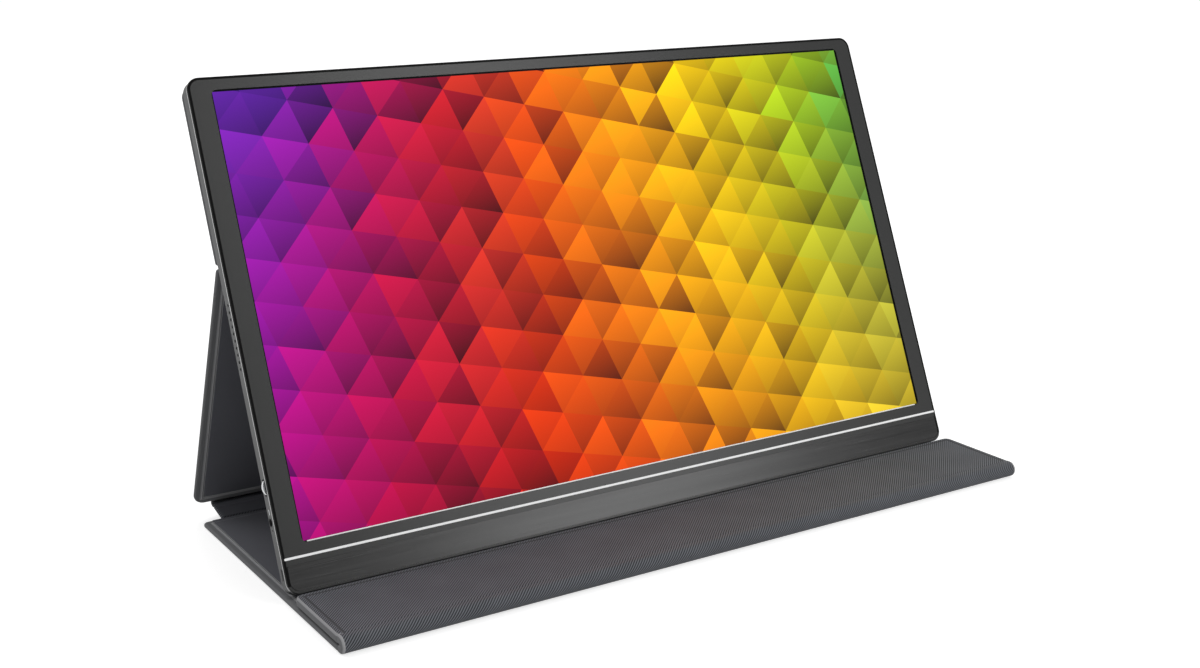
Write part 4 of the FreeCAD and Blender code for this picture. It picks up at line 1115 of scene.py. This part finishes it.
@dataclass
class Monitor:
    """The monitor: finishes of its solids, the lines along its outline and the bright lip under the picture, a
    painted highlight.

    Args:
        origin: the middle of its lower rear edge.
        lean: from lying flat.
    """

    # Each row: name, colour, roughness, metallic, grain, relief, spread, gloss.
    MOULDED = {
        "housing": ("anodised_housing", (0.030, 0.031, 0.032), 0.42, 0.6, 0.12 * MM, 0.006 * MM),
        "bezel": ("satin_frame", (0.009, 0.0095, 0.009), 0.3, 0.0, 0.16 * MM, 0.008 * MM, 0.12, 0.26),
        "trim": ("bright_strip", (0.90, 0.90, 0.90), 0.4, 0.0, 0.1 * MM, 0.002 * MM, 0.03, 0.3),
        "cut_edge": ("cut_metal_edge", (0.58, 0.58, 0.58), 0.3, 1.0, 0.1 * MM, 0.002 * MM, 0.05),
        "rim": ("black_rim", (0.002, 0.002, 0.002), 0.45, 0.0, 0.1 * MM, 0.002 * MM, 0.12, 0.05),
        "diffuser": ("white_film", (0.82, 0.83, 0.84), 0.5),
        "clear_plastic": ("clear_acrylic", (0.78, 0.81, 0.83), 0.2),
        "tray": ("steel_tray", (0.50, 0.50, 0.51), 0.35, 1.0),
        "adhesive": ("black_adhesive", (0.02, 0.02, 0.02), 0.7),
        "chip": ("black_package", (0.018, 0.018, 0.019), 0.5),
        "film": ("amber_film", (0.40, 0.18, 0.03), 0.35),
        "screw": ("screw_steel", (0.55, 0.55, 0.55), 0.3, 1.0),
        "socket": ("plated_shell", (0.55, 0.55, 0.55), 0.28, 1.0),
        "speaker": ("speaker_shell", (0.02, 0.02, 0.02), 0.6),
        "magnet": ("nickel_magnet", (0.60, 0.59, 0.57), 0.25, 1.0),
        "control": ("control_metal", (0.62, 0.63, 0.64), 0.25, 1.0, 0.1 * MM, 0.004 * MM),
        "carrier": ("carrier_plastic", (0.03, 0.03, 0.03), 0.55),
        "cover_board": ("cover_board", (0.40, 0.33, 0.24), 0.85, 0.0, 0.6 * MM, 0.03 * MM),
    }

    origin: Vector
    lean: float
    width: float = 365.4 * MM
    height: float = 221.4 * MM
    depth: float = 8.0 * MM
    corner: float = 5.5 * MM
    bezel_depth: float = 1.2 * MM
    menu_height: float = 46.0 * MM
    menu_level: float = 4.2 * MM
    chin: float = 21.25 * MM
    window_border: float = 0.7 * MM
    glass_depth: float = 0.8 * MM
    gap: float = 0.05 * MM
    proud: float = 0.03 * MM
    line_width: float = 0.5 * MM
    rim_width: float = 1.25 * MM
    rim_round: float = 0.5 * MM
    rim_start: float = 4.0 * MM
    rim_segments: int = 4
    lip_short: float = 3.0 * MM
    lip_width: float = 0.6 * MM
    lip_height: float = 0.5 * MM
    lip_corner: float = 0.25 * MM
    lip_round: float = 0.2 * MM

    def place(self) -> Matrix:
        """From the monitor lying on its back to where it stands."""
        return Matrix.Translation(self.origin) @ Matrix.Rotation(self.lean, 4, "X")

    def finishes(self) -> dict[str, Material]:
        """Makes the materials of the solids.

        Returns:
            A material for each of the record's slots, and for the two thin lines.
        """
        middle = self.place() @ Vector((0, self.chin + DisplayFinish.height / 2, self.depth))
        made = {slot: MouldedFinish(*row) for slot, row in self.MOULDED.items()}
        made["chin"] = BrushedFinish("brushed_chin", (0.023, 0.023, 0.023))
        made["screen_glass"] = DisplayFinish("lit_display", middle, self.lean)
        made["board"] = BoardFinish("green_board", (0.01, 0.10, 0.04), (0.20, 0.22, 0.06))
        return {slot: finish.material() for slot, finish in made.items()}

    def dress(self, frame: dict) -> None:
        """Gives every solid of the frame the finish of its slot.

        Args:
            frame: the loaded frame.
        """
        materials = self.finishes()
        slots = {part["node"]: part["material_slot"] for part in frame["record"]["subparts"]}
        for node, solid in frame["nodes"].items():
            material = materials.get("carrier" if node == "power_button" else slots[node])
            if material:
                solid.data.materials.clear()
                solid.data.materials.append(material)
        self.edge_line(materials["cut_edge"])
        self.front_rim(materials["rim"])
        # a painted highlight under the picture, in the bright strip's finish
        self.painted_highlight_lip(materials["trim"])

    def ring(self, name: str, low: float, high: float, width: float, edge: float,
             material: Material, open_below: float = 0.0) -> None:
        """A band round the monitor's outline.

        Args:
            name: what the piece is called.
            width: of the band, inwards.
            edge: round along its front edge.
            material: its finish.
            open_below: height of the stretch along the lower edge that the band leaves out.
        """
        wide, tall = (length + 2 * self.proud for length in (self.width, self.height))
        mesh = slab(wide, -self.proud, tall, low, high, (self.corner, self.corner))
        if edge:
            bevel(mesh, rim_edges(mesh, (Side.INNER,)), edge, self.rim_segments)
        mesh.normal_update()
        faces = [flat_face(mesh, Side.OUTER), flat_face(mesh, Side.INNER)]
        for face, span in zip(faces, (width, width - edge)):
            inset(mesh, face, span, 0.0)
        bmesh.ops.bridge_loops(mesh, edges=[line for face in faces for line in face.edges])
        bmesh.ops.delete(mesh, geom=faces, context="FACES_ONLY")
        if open_below:
            rims = split(mesh, Vector((0, open_below, 0)), Vector((0, 1, 0)), drop=True)
            bmesh.ops.holes_fill(mesh, edges=rims)
        piece = new_piece(name, mesh, self.place(), material)
        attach(piece, "screen")

    def edge_line(self, material: Material) -> None:
        """The bright cut edge of the housing, just behind the front frame."""
        top = self.depth - self.bezel_depth
        self.ring("housing_cut_edge", top - self.line_width, top - self.gap, self.line_width, 0.0,
                  material)

    def front_rim(self, material: Material) -> None:
        """The black rounded rim of the front frame."""
        low = self.depth - self.bezel_depth + self.gap
        self.ring("frame_rim", low, self.depth + self.proud, self.rim_width, self.rim_round,
                  material, open_below=self.rim_start)

    def painted_highlight_lip(self, material: Material) -> None:
        """A bright bead where the glass meets the frame under the picture, put there as a painted highlight on
        the frame's lower inner edge.

        Args:
            material: its finish.
        """
        low = self.chin - self.window_border + self.gap
        front = self.depth - self.glass_depth
        mesh = slab(DisplayFinish.width - self.lip_short, low, self.lip_width, front,
                    front + self.lip_height, (self.lip_corner, self.lip_corner))
        bevel(mesh, rim_edges(mesh, (Side.INNER,)), self.lip_round, EDGE_SEGMENTS)
        piece = new_piece("painted_highlight_lip", mesh, self.place(), material)
        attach(piece, "screen")


# The studio


@dataclass(frozen=True)
class FloorFinish(Finish):
    """Pale matt ground that keeps the shadow and glows a little where it is seen."""

    tone: float = 0.62
    glow: float = 0.64

    def draw(self, graph: Graph) -> None:
        """Draws the finish.

        Args:
            graph: the material's nodes.
        """
        graph.shade(Base_Color=(self.tone,) * 3, Roughness=0.9, Specular_Ior_Level=0.1)
        glow = graph.add("Emission", {"Color": (1.0, 1.0, 1.0, 1.0)})
        graph.set(glow, "Strength", graph.math("MULTIPLY", graph.seen(), self.glow))
        both = graph.add("AddShader", {0: graph.shader.outputs[0], 1: glow.outputs[0]})
        graph.set(graph.tree.nodes["Material Output"], "Surface", both.outputs[0])


@dataclass
class Studio:
    """Pale floor, soft light and the camera."""

    # Each row: name, place, size, power.
    LAMPS = (
        ("overhead", (-0.3, 1.5, 2.3), (3.4, 1.6), 34.0),
        ("softbox", (0.93, -1.5, 1.0), (0.5, 1.5), 16.5),
    )

    position: Vector = field(default_factory=lambda: Vector((-401.4, -606.4, 279.86)) * MM)
    yaw: float = 32.579
    pitch: float = -15.095
    roll: float = -0.22
    focal_pixels: float = 1601.4
    image_width: float = 1200.0
    sensor: float = 36.0
    clip_start: float = 10 * MM
    world_light: float = 0.55
    lamp_aim: float = 80 * MM
    floor_size: float = 14.0
    floor_level: float = -0.3 * MM

    def camera(self) -> None:
        """Sets the camera at the photograph's viewing angle."""
        data = bpy.data.cameras.new("camera")
        data.sensor_fit = "HORIZONTAL"
        data.sensor_width = self.sensor
        data.lens = self.focal_pixels * self.sensor / self.image_width
        data.clip_start = self.clip_start
        camera = bpy.data.objects.new("camera", data)
        turn = (
            Matrix.Rotation(math.radians(-self.yaw), 4, "Z")
            @ Matrix.Rotation(math.radians(90 + self.pitch), 4, "X")
            @ Matrix.Rotation(math.radians(self.roll), 4, "Z")
        )
        camera.matrix_world = Matrix.Translation(self.position) @ turn
        bpy.context.collection.objects.link(camera)
        bpy.context.scene.camera = camera

    def floor(self) -> None:
        """A wide pale floor that keeps the shadow."""
        mesh = bmesh.new()
        bmesh.ops.create_grid(mesh, x_segments=1, y_segments=1, size=self.floor_size)
        bmesh.ops.translate(mesh, vec=(0, 0, self.floor_level), verts=mesh.verts)
        new_piece("studio_floor", mesh, Matrix(), FloorFinish("pale_floor").material())

    def light(self) -> None:
        """Even light from all round, with two large soft lamps."""
        world = bpy.data.worlds.new("studio")
        bpy.context.scene.world = world
        graph = Graph(world, "Background")
        level = graph.math("MULTIPLY_ADD", graph.seen(), 1.0 - self.world_light, self.world_light)
        graph.shade(Color=(1.0, 1.0, 1.0), Strength=level)
        for name, place, size, power in self.LAMPS:
            lamp = bpy.data.lights.new(name, "AREA")
            lamp.shape = "RECTANGLE"
            lamp.size, lamp.size_y = size
            lamp.energy = power
            holder = bpy.data.objects.new(name, lamp)
            way = Vector((0, 0, self.lamp_aim)) - Vector(place)
            turn = way.to_track_quat("-Z", "Y").to_matrix().to_4x4()
            holder.matrix_world = Matrix.Translation(place) @ turn
            bpy.context.collection.objects.link(holder)

    def build(self) -> None:
        """Makes the floor, the light and the camera."""
        self.floor()
        self.light()
        self.camera()
        bpy.context.scene.view_settings.view_transform = "Standard"


def main() -> None:
    """Loads the frame and builds each part of the scene."""
    logging.basicConfig(level=logging.INFO, format="%(name)s: %(message)s")
    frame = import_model()
    joints = {joint["name"]: joint for joint in frame["record"]["behaviour"]["joints"]}
    folds = {name: Vector(joint["pos_m"]) for name, joint in joints.items() if joint["type"] == "hinge"}
    normal = Vector(joints["menu_turn"]["axis"])
    lean = math.atan2(-normal.y, normal.z)
    menu = Vector(joints["menu_turn"]["pos_m"])
    foot = Matrix.Rotation(lean, 3, "X") @ Vector((0, Monitor.menu_height, Monitor.menu_level))
    lower_rear = Vector((0, menu.y, menu.z)) - foot
    Cover(folds, lean).build()
    Monitor(lower_rear, lean).dress(frame)
    Studio().build()


if __name__ == "__main__":
    main()
